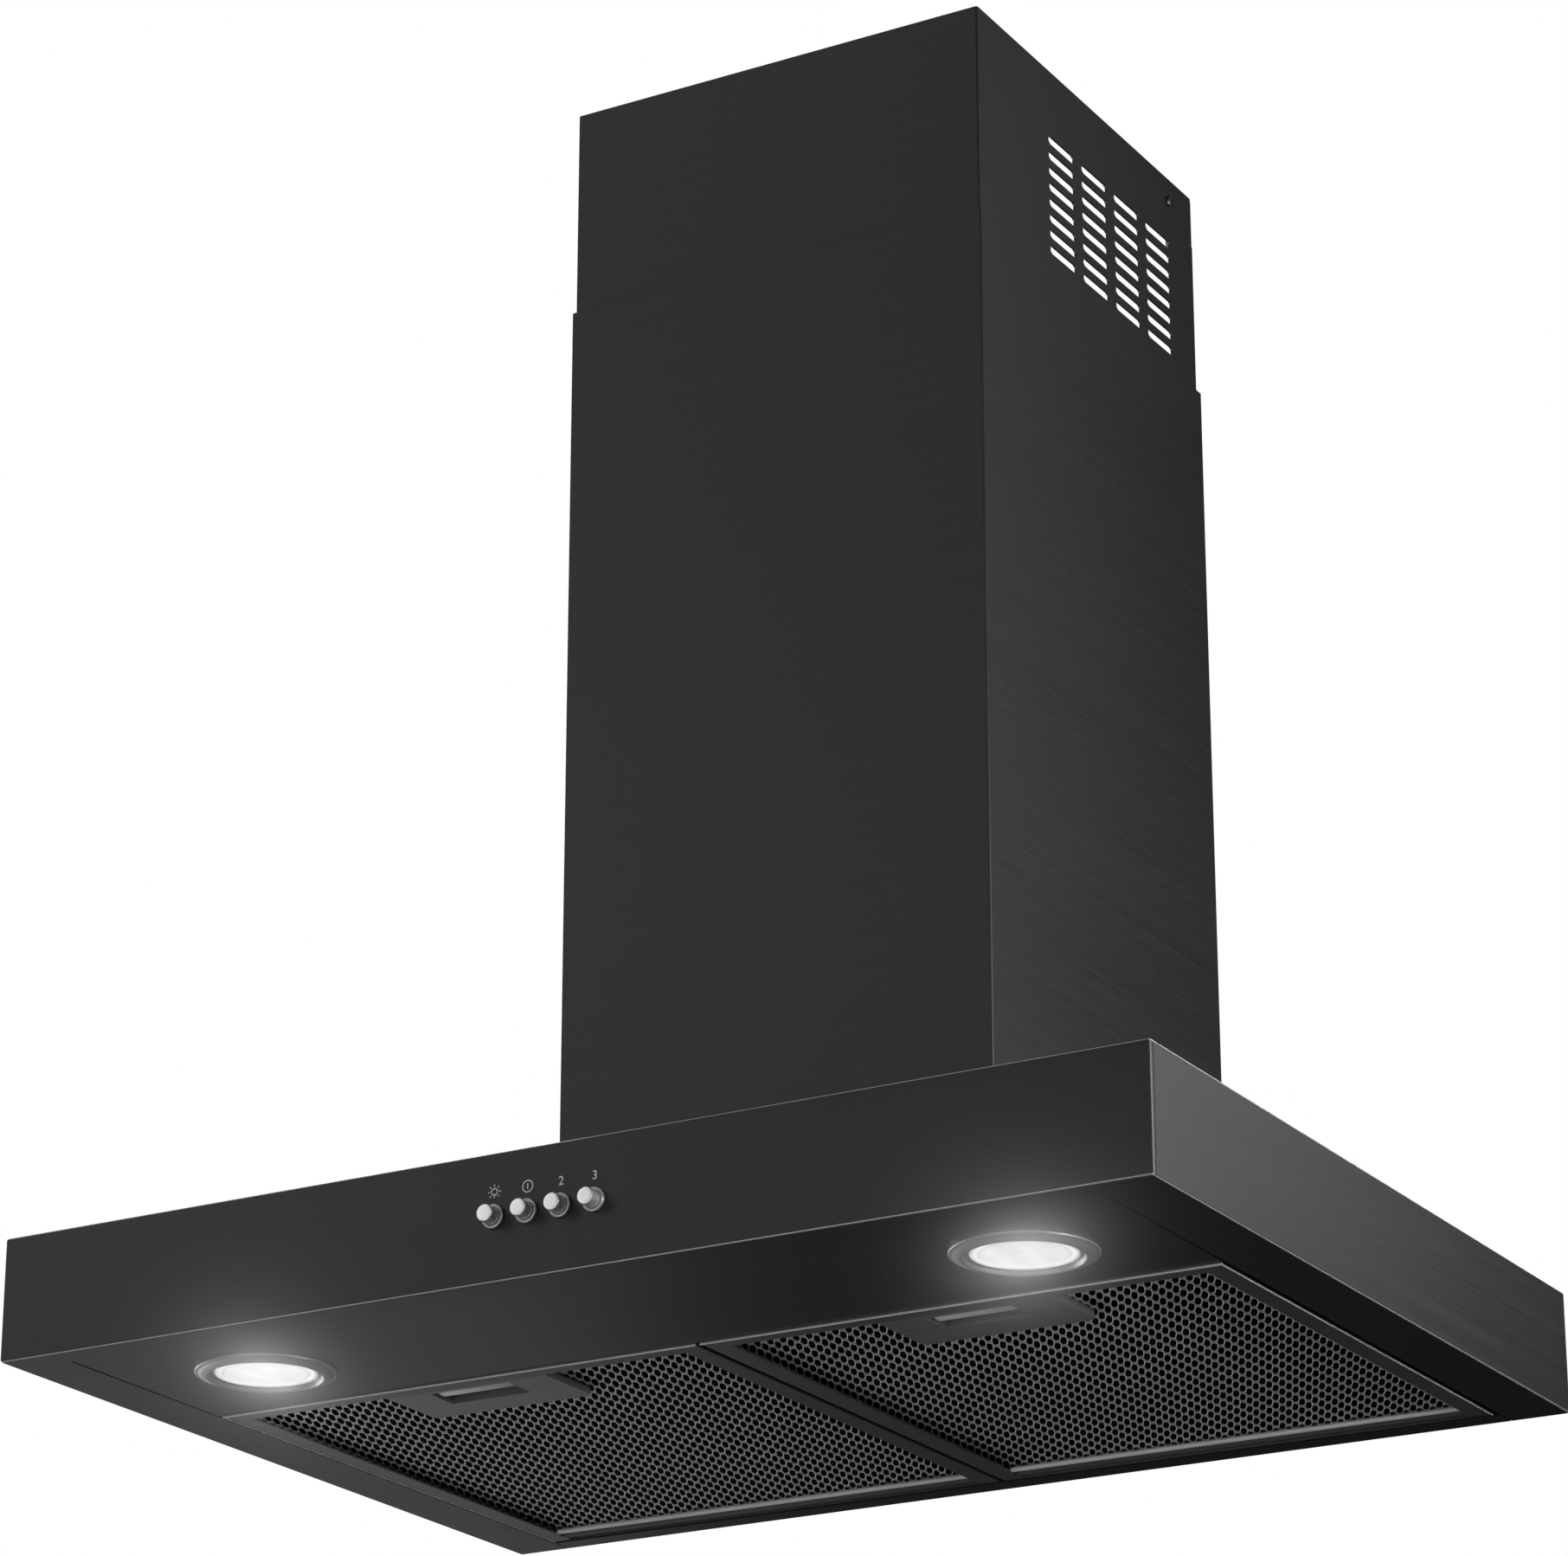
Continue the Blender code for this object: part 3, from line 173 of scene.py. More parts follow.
def set_bump(tree, shader, height, depth):
    """Relief of a height map; depth is in metres."""
    bump = add_node(tree, "ShaderNodeBump", {"Height": height, "Distance": depth, "Strength": 1.0})
    link(tree, shader, "Normal", bump.outputs[0])


# Materials

POLISH_DEPTH = 0.02 * MM
# Painted lamp light: emission added to surfaces near the lamps, standing in for the lamps' light spill
PAINTED_GLOW_STRENGTH = 0.52
PAINTED_GLOW_REACH = 14.4 * MM
PAINTED_GLOW_COLOR = (1.0, 0.97, 0.98, 1.0)
PANEL_PAINTED_GLOW_TOP = CANOPY_HIGH.z - 1.0 * MM
UNDERSIDE_PAINTED_GLOW_TOP = CANOPY_LOW.z + 3.8 * MM


def painted_fold_highlight(tree):
    """Mask of a painted highlight: one on the level rounded folds of a sheet, and zero on its flat faces and
    upright folds.
    """
    normal = coordinates(tree, "Normal")
    x, y, z = components(tree, vector_calc(tree, "MULTIPLY", normal, normal))
    largest = calc(tree, "MAXIMUM", calc(tree, "MAXIMUM", x, y), z)
    rounded = map_range(tree, largest, 0.96, 0.70)
    level = map_range(tree, z, 0.05, 0.25)
    return calc(tree, "MULTIPLY", rounded, level)


def add_painted_lamp_glow(tree, shader, top):
    """Painted light round each lit lamp: emission on the surface that stands in for the lamps' spill. It fades
    across the panel and folds up over the front face.

    It reaches no higher than top, so that it stays out of recesses and off the canopy's upper side.
    """
    place = coordinates(tree, "Object")
    total = 0.0
    for side in SIDES:
        low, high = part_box(f"lamp_lens_{side}")
        lamp = ((low.x + high.x) / 2, (low.y + high.y) / 2, low.z)
        across = vector_calc(tree, "CROSS_PRODUCT", vector_calc(tree, "SUBTRACT", place, lamp), SIGHT_LINE)
        distance = vector_calc(tree, "LENGTH", across, output="Value")
        total = calc(tree, "ADD", total, calc(tree, "EXPONENT", calc(tree, "DIVIDE", distance, -PAINTED_GLOW_REACH)))
    strength = calc(tree, "MULTIPLY", calc(tree, "LESS_THAN", components(tree, place)[2], top), PAINTED_GLOW_STRENGTH)
    link(tree, shader, "Emission Strength", calc(tree, "MULTIPLY", total, strength))
    shader.inputs["Emission Color"].default_value = PAINTED_GLOW_COLOR


def black_steel():
    """Black brushed steel: fine level lines, with slow drift of tone and polish, and a painted highlight on its
    level folds.
    """
    flat_metallic, painted_highlight_metallic = 0.35, 0.80
    material, tree, shader = new_material("black_brushed_steel", 0.4, flat_metallic)
    grain = grain_along_sheet(tree, 1400.0)
    tone = mean_of(tree, grain, noise(tree, (6.0, 6.0, 9.0)), 0.75)
    coated = blend_colors(tree, spread(tree, tone), (0.027, 0.025, 0.026), (0.037, 0.034, 0.035))
    fold_highlight_mask = painted_fold_highlight(tree)
    # Painted highlight: the level folds turn near-white and more metallic
    link(tree, shader, "Base Color", blend_colors(tree, fold_highlight_mask, coated, (0.78, 0.76, 0.77)))
    metallic = calc(tree, "MULTIPLY_ADD", fold_highlight_mask, painted_highlight_metallic - flat_metallic, flat_metallic)
    link(tree, shader, "Metallic", metallic)
    link(tree, shader, "Roughness", spread(tree, tone, 0.36, 0.46))
    set_bump(tree, shader, grain, POLISH_DEPTH)
    # Painted light: emission glow from the lamps over the panel and the front face
    add_painted_lamp_glow(tree, shader, PANEL_PAINTED_GLOW_TOP)
    return material


def brushed_metal(name, dark, light):
    """Plain sheet metal with soft rolling lines."""
    roughness = 0.42
    material, tree, shader = new_material(name, roughness, 0.6)
    grain = grain_along_sheet(tree, 700.0)
    two_tone(tree, shader, grain, dark, light)
    link(tree, shader, "Roughness", spread(tree, grain, roughness - 0.05, roughness + 0.07))
    set_bump(tree, shader, grain, POLISH_DEPTH)
    # Painted light: emission glow from the lamps on the underside
    add_painted_lamp_glow(tree, shader, UNDERSIDE_PAINTED_GLOW_TOP)
    return material


def galvanised():
    """Zinc coating with crystal patches about 7 mm across."""
    material, tree, shader = new_material("galvanised_sheet", 0.4, 0.9)
    wobble = add_node(tree, "ShaderNodeTexNoise", {"Vector": stretched(tree, same(160.0)), "Scale": 1.0})
    place = vector_calc(tree, "ADD", stretched(tree, same(140.0)), wobble.outputs["Color"])
    crystals = add_node(tree, "ShaderNodeTexVoronoi", {"Vector": place, "Scale": 1.0})
    fine = noise(tree, same(900.0))
    value = mean_of(tree, components(tree, crystals.outputs["Color"])[0], fine, 0.8)
    link(tree, shader, "Base Color", blend_colors(tree, value, (0.30, 0.31, 0.33), (0.52, 0.53, 0.55)))
    link(tree, shader, "Roughness", map_range(tree, value, 0.0, 1.0, 0.30, 0.52))
    set_bump(tree, shader, fine, 0.03 * MM)
    return material


def moulded_plastic(name, dark, light, roughness):
    """Moulded plastic with a fine spark-eroded grain."""
    material, tree, shader = new_material(name, roughness, 0.0)
    grain = noise(tree, same(1600.0))
    tone = mean_of(tree, grain, noise(tree, same(25.0), 3.0), 0.5)
    two_tone(tree, shader, tone, dark, light)
    link(tree, shader, "Roughness", spread(tree, tone, roughness - 0.06, roughness + 0.08))
    set_bump(tree, shader, grain, 0.08 * MM)
    return material


def turned_metal(name, dark, light, roughness, metallic=0.9, painted_glow=False):
    """Metal with a faint speckled satin finish."""
    material, tree, shader = new_material(name, roughness, metallic)
    speckle = noise(tree, same(2200.0))
    two_tone(tree, shader, speckle, dark, light)
    link(tree, shader, "Roughness", spread(tree, speckle, roughness - 0.05, roughness + 0.06))
    set_bump(tree, shader, speckle, POLISH_DEPTH)
    # Painted light: an emission glow from the lamps, for pieces near them
    if painted_glow:
        add_painted_lamp_glow(tree, shader, UNDERSIDE_PAINTED_GLOW_TOP)
    return material


def deep_shadow():
    """Painted shade: metal deep inside the filters, nearly black and dull, standing in for the shade there."""
    material, tree, shader = new_material("painted_shade_inner_layers", 0.95, 0.0)
    speckle = noise(tree, same(900.0))
    two_tone(tree, shader, speckle, same(0.002), same(0.006))
    shader.inputs["Specular IOR Level"].default_value = 0.05
    set_bump(tree, shader, speckle, 0.05 * MM)
    return material


# Share of the lens's radius, and the brightness there
LENS_TONES = ((0.0, 1.0), (0.78, 0.97), (0.845, 0.80), (0.87, 1.0), (0.93, 0.93), (0.97, 0.80), (1.0, 0.45))


def lamp_glass():
    """Frosted lens, lit from behind, with soft streaks, a moulded ring and a darker edge."""
    material, tree, shader = new_material("lit_frosted_glass", 0.25, 0.0)
    streaks = noise(tree, (70.0, 28.0, 45.0))
    low, high, centre = box_and_centre("lamp_lens_right")
    x, y, _ = components(tree, coordinates(tree, "Object"))
    across = calc(tree, "SUBTRACT", calc(tree, "ABSOLUTE", x), centre.x)
    along = calc(tree, "SUBTRACT", y, centre.y)
    along_squared = calc(tree, "MULTIPLY", along, along)
    radius = calc(tree, "SQRT", calc(tree, "MULTIPLY_ADD", across, across, along_squared))
    ramp = add_node(tree, "ShaderNodeValToRGB", {0: calc(tree, "DIVIDE", radius, (high.x - low.x) / 2)})
    stops = ramp.color_ramp.elements
    for place, _ in LENS_TONES[1:-1]:
        stops.new(place)
    for stop, (place, tone) in zip(stops, LENS_TONES):
        stop.position = place
        stop.color = (*same(tone), 1.0)
    shader.inputs["Base Color"].default_value = (*same(0.08), 1.0)
    glow = blend_colors(tree, spread(tree, streaks), (0.74, 0.745, 0.75), (0.93, 0.93, 0.93))
    link(tree, shader, "Emission Color", glow)
    link(tree, shader, "Emission Strength", ramp.outputs[0])
    set_bump(tree, shader, streaks, 0.2 * MM)
    return material


# The record's slots first, then the finishes that only some pieces have. Colours are dark tone, light tone.
# Turned metals given True carry the painted lamp glow; black steel and the brushed metals always carry it
MATERIALS = {
    "black_steel": black_steel(),
    "galvanised_steel": galvanised(),
    "filter_metal": brushed_metal("filter_frame_metal", (0.125, 0.120, 0.120), (0.165, 0.160, 0.160)),
    "filter_mesh": turned_metal("filter_mesh_metal", (0.50, 0.49, 0.49), (0.62, 0.61, 0.61), 0.5, 0.4, True),
    "satin_bezel": turned_metal("satin_nickel", (0.34, 0.335, 0.33), (0.42, 0.415, 0.41), 0.46, 0.5, True),
    "lamp_lens": lamp_glass(),
    "black_plastic": moulded_plastic("black_plastic", (0.018, 0.018, 0.019), (0.028, 0.028, 0.029), 0.5),
    "button_metal": turned_metal("button_metal", (0.78, 0.775, 0.77), (0.88, 0.875, 0.87), 0.36, 0.6),
    "collar_metal": turned_metal("collar_metal", (0.36, 0.355, 0.35), (0.44, 0.435, 0.43), 0.38, 0.6),
    "grey_plastic": moulded_plastic("grey_plastic", (0.22, 0.225, 0.23), (0.28, 0.285, 0.29), 0.5),
    "motor_steel": turned_metal("motor_steel", (0.18, 0.185, 0.19), (0.24, 0.245, 0.25), 0.36),
    "screw_steel": turned_metal("screw_steel", same(0.10), same(0.16), 0.36),
    "capacitor_white": moulded_plastic("capacitor_white", (0.66, 0.66, 0.63), (0.74, 0.74, 0.71), 0.42),
    "button_face": turned_metal("button_face", same(0.96), same(1.0), 0.33, 0.8),
    "print_ink": turned_metal("grey_print_ink", (0.56, 0.565, 0.58), (0.66, 0.665, 0.68), 0.42, 0.75),
    "painted_shade_layers": deep_shadow(),
    # Near-white metal for the frame edges: painted highlight lines
    "painted_edge_highlight": turned_metal("rolled_edge_painted_highlight", (0.80, 0.79, 0.78), (0.90, 0.89, 0.88), 0.5, 0.3, True),
    "latch_metal": brushed_metal("latch_plate_metal", (0.20, 0.195, 0.195), (0.26, 0.255, 0.255)),
    "grip_metal": turned_metal("satin_grip_metal", (0.80, 0.79, 0.79), (0.88, 0.87, 0.87), 0.45, 0.3, True),
    "lead_blue": moulded_plastic("blue_insulation", (0.02, 0.06, 0.22), (0.03, 0.08, 0.28), 0.4),
    "lead_brown": moulded_plastic("brown_insulation", (0.09, 0.035, 0.015), (0.12, 0.05, 0.02), 0.4),
}

# Nodes whose finish is lighter than the rest of their slot
SPECIAL_FINISHES = {"latch_plate_left": "latch_metal", "latch_plate_right": "latch_metal"}


def dress_cad_nodes():
    """Give each CAD node the material of its slot, or its own finish if it has one."""
    for part in frame["record"]["subparts"]:
        item = NODES[part["node"]]
        item.data.materials.clear()
        item.data.materials.append(MATERIALS[SPECIAL_FINISHES.get(part["node"], part["material_slot"])])


# Mesh helpers

AXES = {"X": (1, 2), "Y": (0, 2), "Z": (0, 1)}
MERGE_DISTANCE = 1e-7


def to_mesh(name, bm):
    """A mesh made from a bmesh, with its normals facing out. It uses the bmesh up."""
    bmesh.ops.recalc_face_normals(bm, faces=bm.faces)
    mesh = bpy.data.meshes.new(name)
    bm.to_mesh(mesh)
    bm.free()
    return mesh


def add_object(name, data):
    """A new object in the scene."""
    item = bpy.data.objects.new(name, data)
    scene.collection.objects.link(item)
    return item


def evaluated_shape(item):
    """An object's mesh after its modifiers, or a curve's mesh."""
    evaluated = item.evaluated_get(bpy.context.evaluated_depsgraph_get())
    bm = bmesh.new()
    bm.from_mesh(evaluated.to_mesh())
    evaluated.to_mesh_clear()
    return bm


def curve_shape(curve):
    """The mesh of a curve, which is then removed."""
    item = add_object("curve", curve)
    bm = evaluated_shape(item)
    bpy.data.objects.remove(item)
    bpy.data.curves.remove(curve)
    return bm


def finish_piece(name, bm, slot, body, replaced=(), sharp=40.0, finish=None):
    """Turn a bmesh into a named piece that rides on a body. Its look is its slot's, or that of a named finish."""
    mesh = to_mesh(name, bm)
    mesh.shade_smooth()
    mesh.set_sharp_from_angle(angle=radians(sharp))
    mesh.materials.append(MATERIALS[finish or slot])
    piece = add_object(name, mesh)
    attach(piece, body)
    if replaced:
        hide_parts(*replaced)
    return piece


def add_finish(piece, finish, chosen):
    """Give the faces that a test picks out a second finish."""
    piece.data.materials.append(MATERIALS[finish])
    for face in piece.data.polygons:
        if chosen(face):
            face.material_index = 1


def unit(axis):
    """The unit vector along an axis."""
    return Vector([float(letter == axis) for letter in "XYZ"])


def add_vert(bm, axis, a, b, along):
    """A vertex at a and b in the plane across an axis, and at a place along it."""
    point = unit(axis) * along
    point[AXES[axis][0]], point[AXES[axis][1]] = a, b
    return bm.verts.new(point)


def turned(profile, axis, centre, sides):
    """A profile of (radius, place along the axis) points spun round the axis.

    The profile is closed if it starts off the axis.
    """
    bm = bmesh.new()
    first, second = AXES[axis]
    verts = [add_vert(bm, axis, centre[first] + radius, centre[second], place) for radius, place in profile]
    edges = [bm.edges.new(pair) for pair in zip(verts, verts[1:])]
    if profile[0][0] > 0.0:
        edges.append(bm.edges.new((verts[-1], verts[0])))
    bmesh.ops.spin(bm, geom=verts + edges, cent=centre, axis=unit(axis), angle=2 * pi, steps=sides,
                   use_merge=True)
    bmesh.ops.remove_doubles(bm, verts=bm.verts, dist=MERGE_DISTANCE)
    return bm


def curve_points(centre, radius, start, end, steps):
    """Points on an arc, in degrees, for use inside a profile or outline."""
    angles = [radians(start + (end - start) * i / steps) for i in range(steps + 1)]
    return [(centre[0] + radius * cos(a), centre[1] + radius * sin(a)) for a in angles]


def extruded(outline, axis, start, end):
    """A closed outline in the plane across an axis, extruded along it."""
    bm = bmesh.new()
    verts = [add_vert(bm, axis, a, b, start) for a, b in outline]
    grown = bmesh.ops.extrude_face_region(bm, geom=[bm.faces.new(verts)])
    moved = [item for item in grown["geom"] if isinstance(item, bmesh.types.BMVert)]
    bmesh.ops.translate(bm, verts=moved, vec=unit(axis) * (end - start))
    return bm


def rod(axis, centre, radius, start, end, sides):
    """A round bar along an axis."""
    return extruded(curve_points(centre, radius, 0, 360 - 360 / sides, sides - 1), axis, start, end)


def rounded_box(low, high, radius, segments):
    """A box with all its edges rounded."""
    bm = bmesh.new()
    low, high = Vector(low), Vector(high)
    matrix = Matrix.Translation((low + high) / 2) @ Matrix.Diagonal((*(high - low), 1.0))
    bmesh.ops.create_cube(bm, size=1.0, matrix=matrix)
    bmesh.ops.bevel(bm, geom=list(bm.edges), offset=radius, segments=segments, profile=0.5, affect="EDGES")
    return bm


def merged(*shapes):
    """Several shapes in one mesh."""
    bm = bmesh.new()
    for shape in shapes:
        mesh = to_mesh("shape", shape)
        bm.from_mesh(mesh)
        bpy.data.meshes.remove(mesh)
    return bm


def carved(bm, cutter):
    """A shape with another taken away."""
    items = [add_object("shape", to_mesh("shape", shape)) for shape in (bm, cutter)]
    modifier = items[0].modifiers.new("cut", "BOOLEAN")
    modifier.operation = "DIFFERENCE"
    modifier.object = items[1]
    result = evaluated_shape(items[0])
    for item in items:
        mesh = item.data
        bpy.data.objects.remove(item)
        bpy.data.meshes.remove(mesh)
    return result


def tube(points, radius):
    """A round lead along a smooth curve that a few points guide."""
    curve = bpy.data.curves.new("tube", "CURVE")
    curve.dimensions = "3D"
    curve.bevel_depth = radius
    curve.bevel_resolution = 4
    curve.use_fill_caps = True
    curve.resolution_u = 8
    spline = curve.splines.new("NURBS")
    spline.points.add(len(points) - 1)
    for place, point in zip(spline.points, points):
        place.co = (*point, 1.0)
    spline.use_endpoint_u = True
    spline.order_u = 3
    return curve_shape(curve)


def soften_cad_nodes():
    """Weld each carried-over node and shade its small rounded edges smooth, without changing its shape."""
    for item in NODES.values():
        if item.hide_render:
            continue
        if "custom_normal" in item.data.attributes:
            item.data.attributes.remove(item.data.attributes["custom_normal"])
        item.data.shade_smooth()
        weld = item.modifiers.new("weld", "WELD")
        weld.merge_threshold = 1e-6
        split = item.modifiers.new("sharp_edges", "EDGE_SPLIT")
        split.split_angle = radians(50.0)
        item.modifiers.new("even_shading", "WEIGHTED_NORMAL")


# Lamps

FIT_GAP = 0.3 * MM     # round a lens in its bezel, and round a button in its collar
FLANGE_GAP = 0.3 * MM  # between a flange and the sheet that it covers
LAMP_SIDES = 96
DOME_STEPS = 8


def make_lamps():
    """Satin bezel with a raised lip and an inner step, and a frosted lens with a clear ring round it."""
    for side in SIDES:
        low, high, centre = box_and_centre(f"lamp_bezel_{side}")
        lens_low, lens_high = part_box(f"lamp_lens_{side}")
        outer = (high.x - low.x) / 2
        lens_radius = (lens_high.x - lens_low.x) / 2
        bore = lens_radius + FIT_GAP
        seat = CANOPY_LOW.z - FLANGE_GAP
        sleeve, roll, lip, step = bore + 2.4 * MM, 0.5 * MM, 0.9 * MM, 0.45 * MM
        profile = [(bore, high.z), (sleeve, high.z), (sleeve, seat), (outer, seat)]
        profile += curve_points((outer - roll, seat - 0.6 * MM), roll, 0, -90, 4)
        profile += [(outer - 1.4 * MM, seat - 1.0 * MM), (outer - 2.2 * MM, seat - 1.7 * MM)]
        profile += curve_points((bore + 3.2 * MM, low.z + lip), lip, 270, 200, 5)
        profile += [(bore + 1.6 * MM, seat - 0.4 * MM), (bore + 2 * step, seat - 0.3 * MM)]
        profile += curve_points((bore + step, seat - 0.8 * MM), step, 0, -180, 5)
        finish_piece(f"bezel_ring_{side}", turned(profile, "Z", centre, LAMP_SIDES), "satin_bezel", "hood",
                     (f"lamp_bezel_{side}",), 50.0)
        edge = lens_low.z + 1.9 * MM
        rounding, rim, rise = 0.7 * MM, 2.6 * MM, 1.0 * MM
        dome = [(0.0, lens_high.z), (lens_radius, lens_high.z), (lens_radius, edge - 0.2 * MM)]
        dome += curve_points((lens_radius - rounding, edge - 0.5 * MM), rounding, 0, -90, 4)
        dome += [(lens_radius - 1.5 * MM, edge - 1.0 * MM), (lens_radius - 2.0 * MM, edge - 0.6 * MM)]
        for i in range(DOME_STEPS + 1):
            share = 1.0 - i / DOME_STEPS
            dome.append(((lens_radius - rim) * share, edge - 0.9 * MM - rise * (1.0 - share * share)))
        finish_piece(f"lens_{side}", turned(dome, "Z", centre, LAMP_SIDES), "lamp_lens", "hood",
                     (f"lamp_lens_{side}",))


# Buttons and their printed signs

BUTTON_NAMES = [f"push_button_{i}" for i in range(1, 5)]
BUTTON_SIDES = 48


def make_buttons():
    """Round metal buttons with a bright faced end, and stepped collars whose front-facing rims carry a painted
    highlight.
    """
    seat = CANOPY_LOW.y - FLANGE_GAP
    for i, name in enumerate(BUTTON_NAMES, 1):
        low, high, centre = box_and_centre(name)
        radius = (high.x - low.x) / 2
        chamfer = 0.45 * MM
        profile = [(0.0, low.y + 0.02 * MM), (radius * 0.5, low.y + 0.01 * MM)]
        profile += curve_points((radius - chamfer, low.y + chamfer), chamfer, 270, 360, 5)
        profile += [(radius, high.y), (0.0, high.y)]
        cap = finish_piece(f"button_cap_{i}", turned(profile, "Y", centre, BUTTON_SIDES), "button_metal",
                           f"button_{i}", (name,), 50.0)
        add_finish(cap, "button_face", lambda face: face.normal.y < -0.6)
        low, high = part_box(f"button_collar_{i}")
        outer = (high.x - low.x) / 2
        bore = radius + FIT_GAP
        roll, sleeve = 0.5 * MM, bore + 0.6 * MM
        ring = [(bore, high.y), (sleeve, high.y), (sleeve, seat), (outer, seat)]
        ring += curve_points((outer - roll, low.y + roll), roll, 0, -90, 4)
        ring += [(outer - 0.62 * MM, low.y + 0.25 * MM), (bore + 0.42 * MM, low.y + 0.25 * MM),
                 (bore + 0.3 * MM, low.y + 0.02 * MM), (bore + 0.1 * MM, low.y + 0.05 * MM),
                 (bore, low.y + 0.2 * MM)]
        collar = finish_piece(f"collar_{i}", turned(ring, "Y", centre, BUTTON_SIDES), "collar_metal", "hood",
                              (f"button_collar_{i}",), 50.0)

        def on_painted_highlight_ring(face):
            """Whether a face is on the collar's outer or inner rim, and faces the front: these faces take the
            bright button metal as a painted highlight.
            """
            reach = (face.center.xz - centre.xz).length
            return face.normal.y < -0.3 and (reach > outer - 0.7 * MM or reach < bore + 0.35 * MM)

        # Painted highlight: the bright button metal on the collar's front-facing rims
        add_finish(collar, "button_metal", on_painted_highlight_ring)


SIGN_RISE = 11.7 * MM
SIGN_LINE = 0.46 * MM
SIGN_DEPTH = 0.06 * MM
DIGIT_HEIGHT = 4.1 * MM
DIGIT_HEIGHT_SHARE = 0.7  # of the font's size
BULB_RADIUS = 1.5 * MM
RAY = (2.5 * MM, 3.4 * MM)
BULB_FOOT = (1.7 * MM, 2.8 * MM)
RAY_COUNT, FOOT_INDEX = 8, 6
POWER_RADIUS = 2.65 * MM
POWER_BAR = 2.6 * MM


def sign_ring(x, z, radius, y):
    """A thin printed ring."""
    inner, outer = radius - SIGN_LINE / 2, radius + SIGN_LINE / 2
    ring = [(inner, y - SIGN_DEPTH), (outer, y - SIGN_DEPTH), (outer, y), (inner, y)]
    return turned(ring, "Y", Vector((x, 0.0, z)), 40)


def sign_bar(x, z, degrees, start, end, y):
    """A thin printed bar pointing away from a centre, from one radius to another."""
    along = Vector((cos(radians(degrees)), sin(radians(degrees))))
    across = Vector((-along.y, along.x))
    half = SIGN_LINE / 2
    corners = ((start, -half), (end, -half), (end, half), (start, half))
    return extruded([Vector((x, z)) + along * a + across * b for a, b in corners], "Y", y - SIGN_DEPTH, y)


def sign_digit(digit, x, z, y):
    """A printed digit as thin geometry."""
    curve = bpy.data.curves.new("digit", "FONT")
    curve.body = digit
    curve.size = DIGIT_HEIGHT / DIGIT_HEIGHT_SHARE
    curve.align_x = "CENTER"
    curve.extrude = SIGN_DEPTH / 2
    bm = curve_shape(curve)
    bmesh.ops.remove_doubles(bm, verts=bm.verts, dist=MERGE_DISTANCE)
    place = Matrix.Translation((x, y - SIGN_DEPTH / 2, z - DIGIT_HEIGHT / 2))
    bmesh.ops.transform(bm, matrix=place @ Matrix.Rotation(radians(90.0), 4, "X"), verts=bm.verts)
    return bm


def make_signs():
    """Generic printed signs above the buttons: a bulb with rays, a circled bar, and the digits 2 and 3."""
    y, z = CANOPY_LOW.y, SIGN_RISE
    xs = [box_and_centre(name)[2].x for name in BUTTON_NAMES]
    rays = [sign_bar(xs[0], z, 360.0 * i / RAY_COUNT, *RAY, y) for i in range(RAY_COUNT) if i != FOOT_INDEX]
    foot = sign_bar(xs[0], z, -90.0, *BULB_FOOT, y)
    power_bar = sign_bar(xs[1], z - POWER_BAR / 2, 90.0, 0.0, POWER_BAR, y)
    signs = (("lamp", merged(sign_ring(xs[0], z, BULB_RADIUS, y), foot, *rays)),
             ("power", merged(sign_ring(xs[1], z, POWER_RADIUS, y), power_bar)),
             ("2", sign_digit("2", xs[2], z, y)), ("3", sign_digit("3", xs[3], z, y)))
    for name, bm in signs:
        finish_piece(f"sign_{name}", bm, "black_steel", "hood", finish="print_ink")


# Filters

CELL_ACROSS = 6.92 * MM
CELL_BACK = 7.4 * MM
SHEET_MARGIN = Vector((4.6 * MM, 8.1 * MM))
STRANDS = (Vector((2.1 * MM, 1.2 * MM)), Vector((-2.1 * MM, 6.2 * MM)), Vector((-4.82 * MM, 8.6 * MM)))
HOLE_LENGTH_SHARE = 0.72
HOLE_WIDTH_SHARE = 0.86
CORNER_SHARE = 0.92
STRAND_RELIEF = 0.25 * MM
SHEET_DEPTH = 0.7 * MM
BACK_SHEET_RISE = 4.4 * MM
INNER_GAP = 1.2 * MM
INNER_THICKNESS = 0.9 * MM
NOTCH_GAP = 0.6 * MM
LIP_RADIUS = 0.55 * MM
LIP_DROP = 0.1 * MM
# A rod in a near-white finish along the rear bead: a painted highlight line
BEAD_HIGHLIGHT_RADIUS = 1.3 * MM
BEAD_HIGHLIGHT_PLACE = Vector((14.0 * MM, 1.5 * MM))  # in from the frame's back and up from its underside
BEAD_HIGHLIGHT_INSET = 11.0 * MM


def cell_outline():
    """Twelve points round one six-sided opening: its corners and the middles of its sides."""
    corner = -(STRANDS[0] + STRANDS[1] + STRANDS[2]) / 2
    points = []
    for strand in (*STRANDS, *[-strand for strand in STRANDS]):
        points += [corner, corner + strand / 2]
        corner = corner + strand
    return points


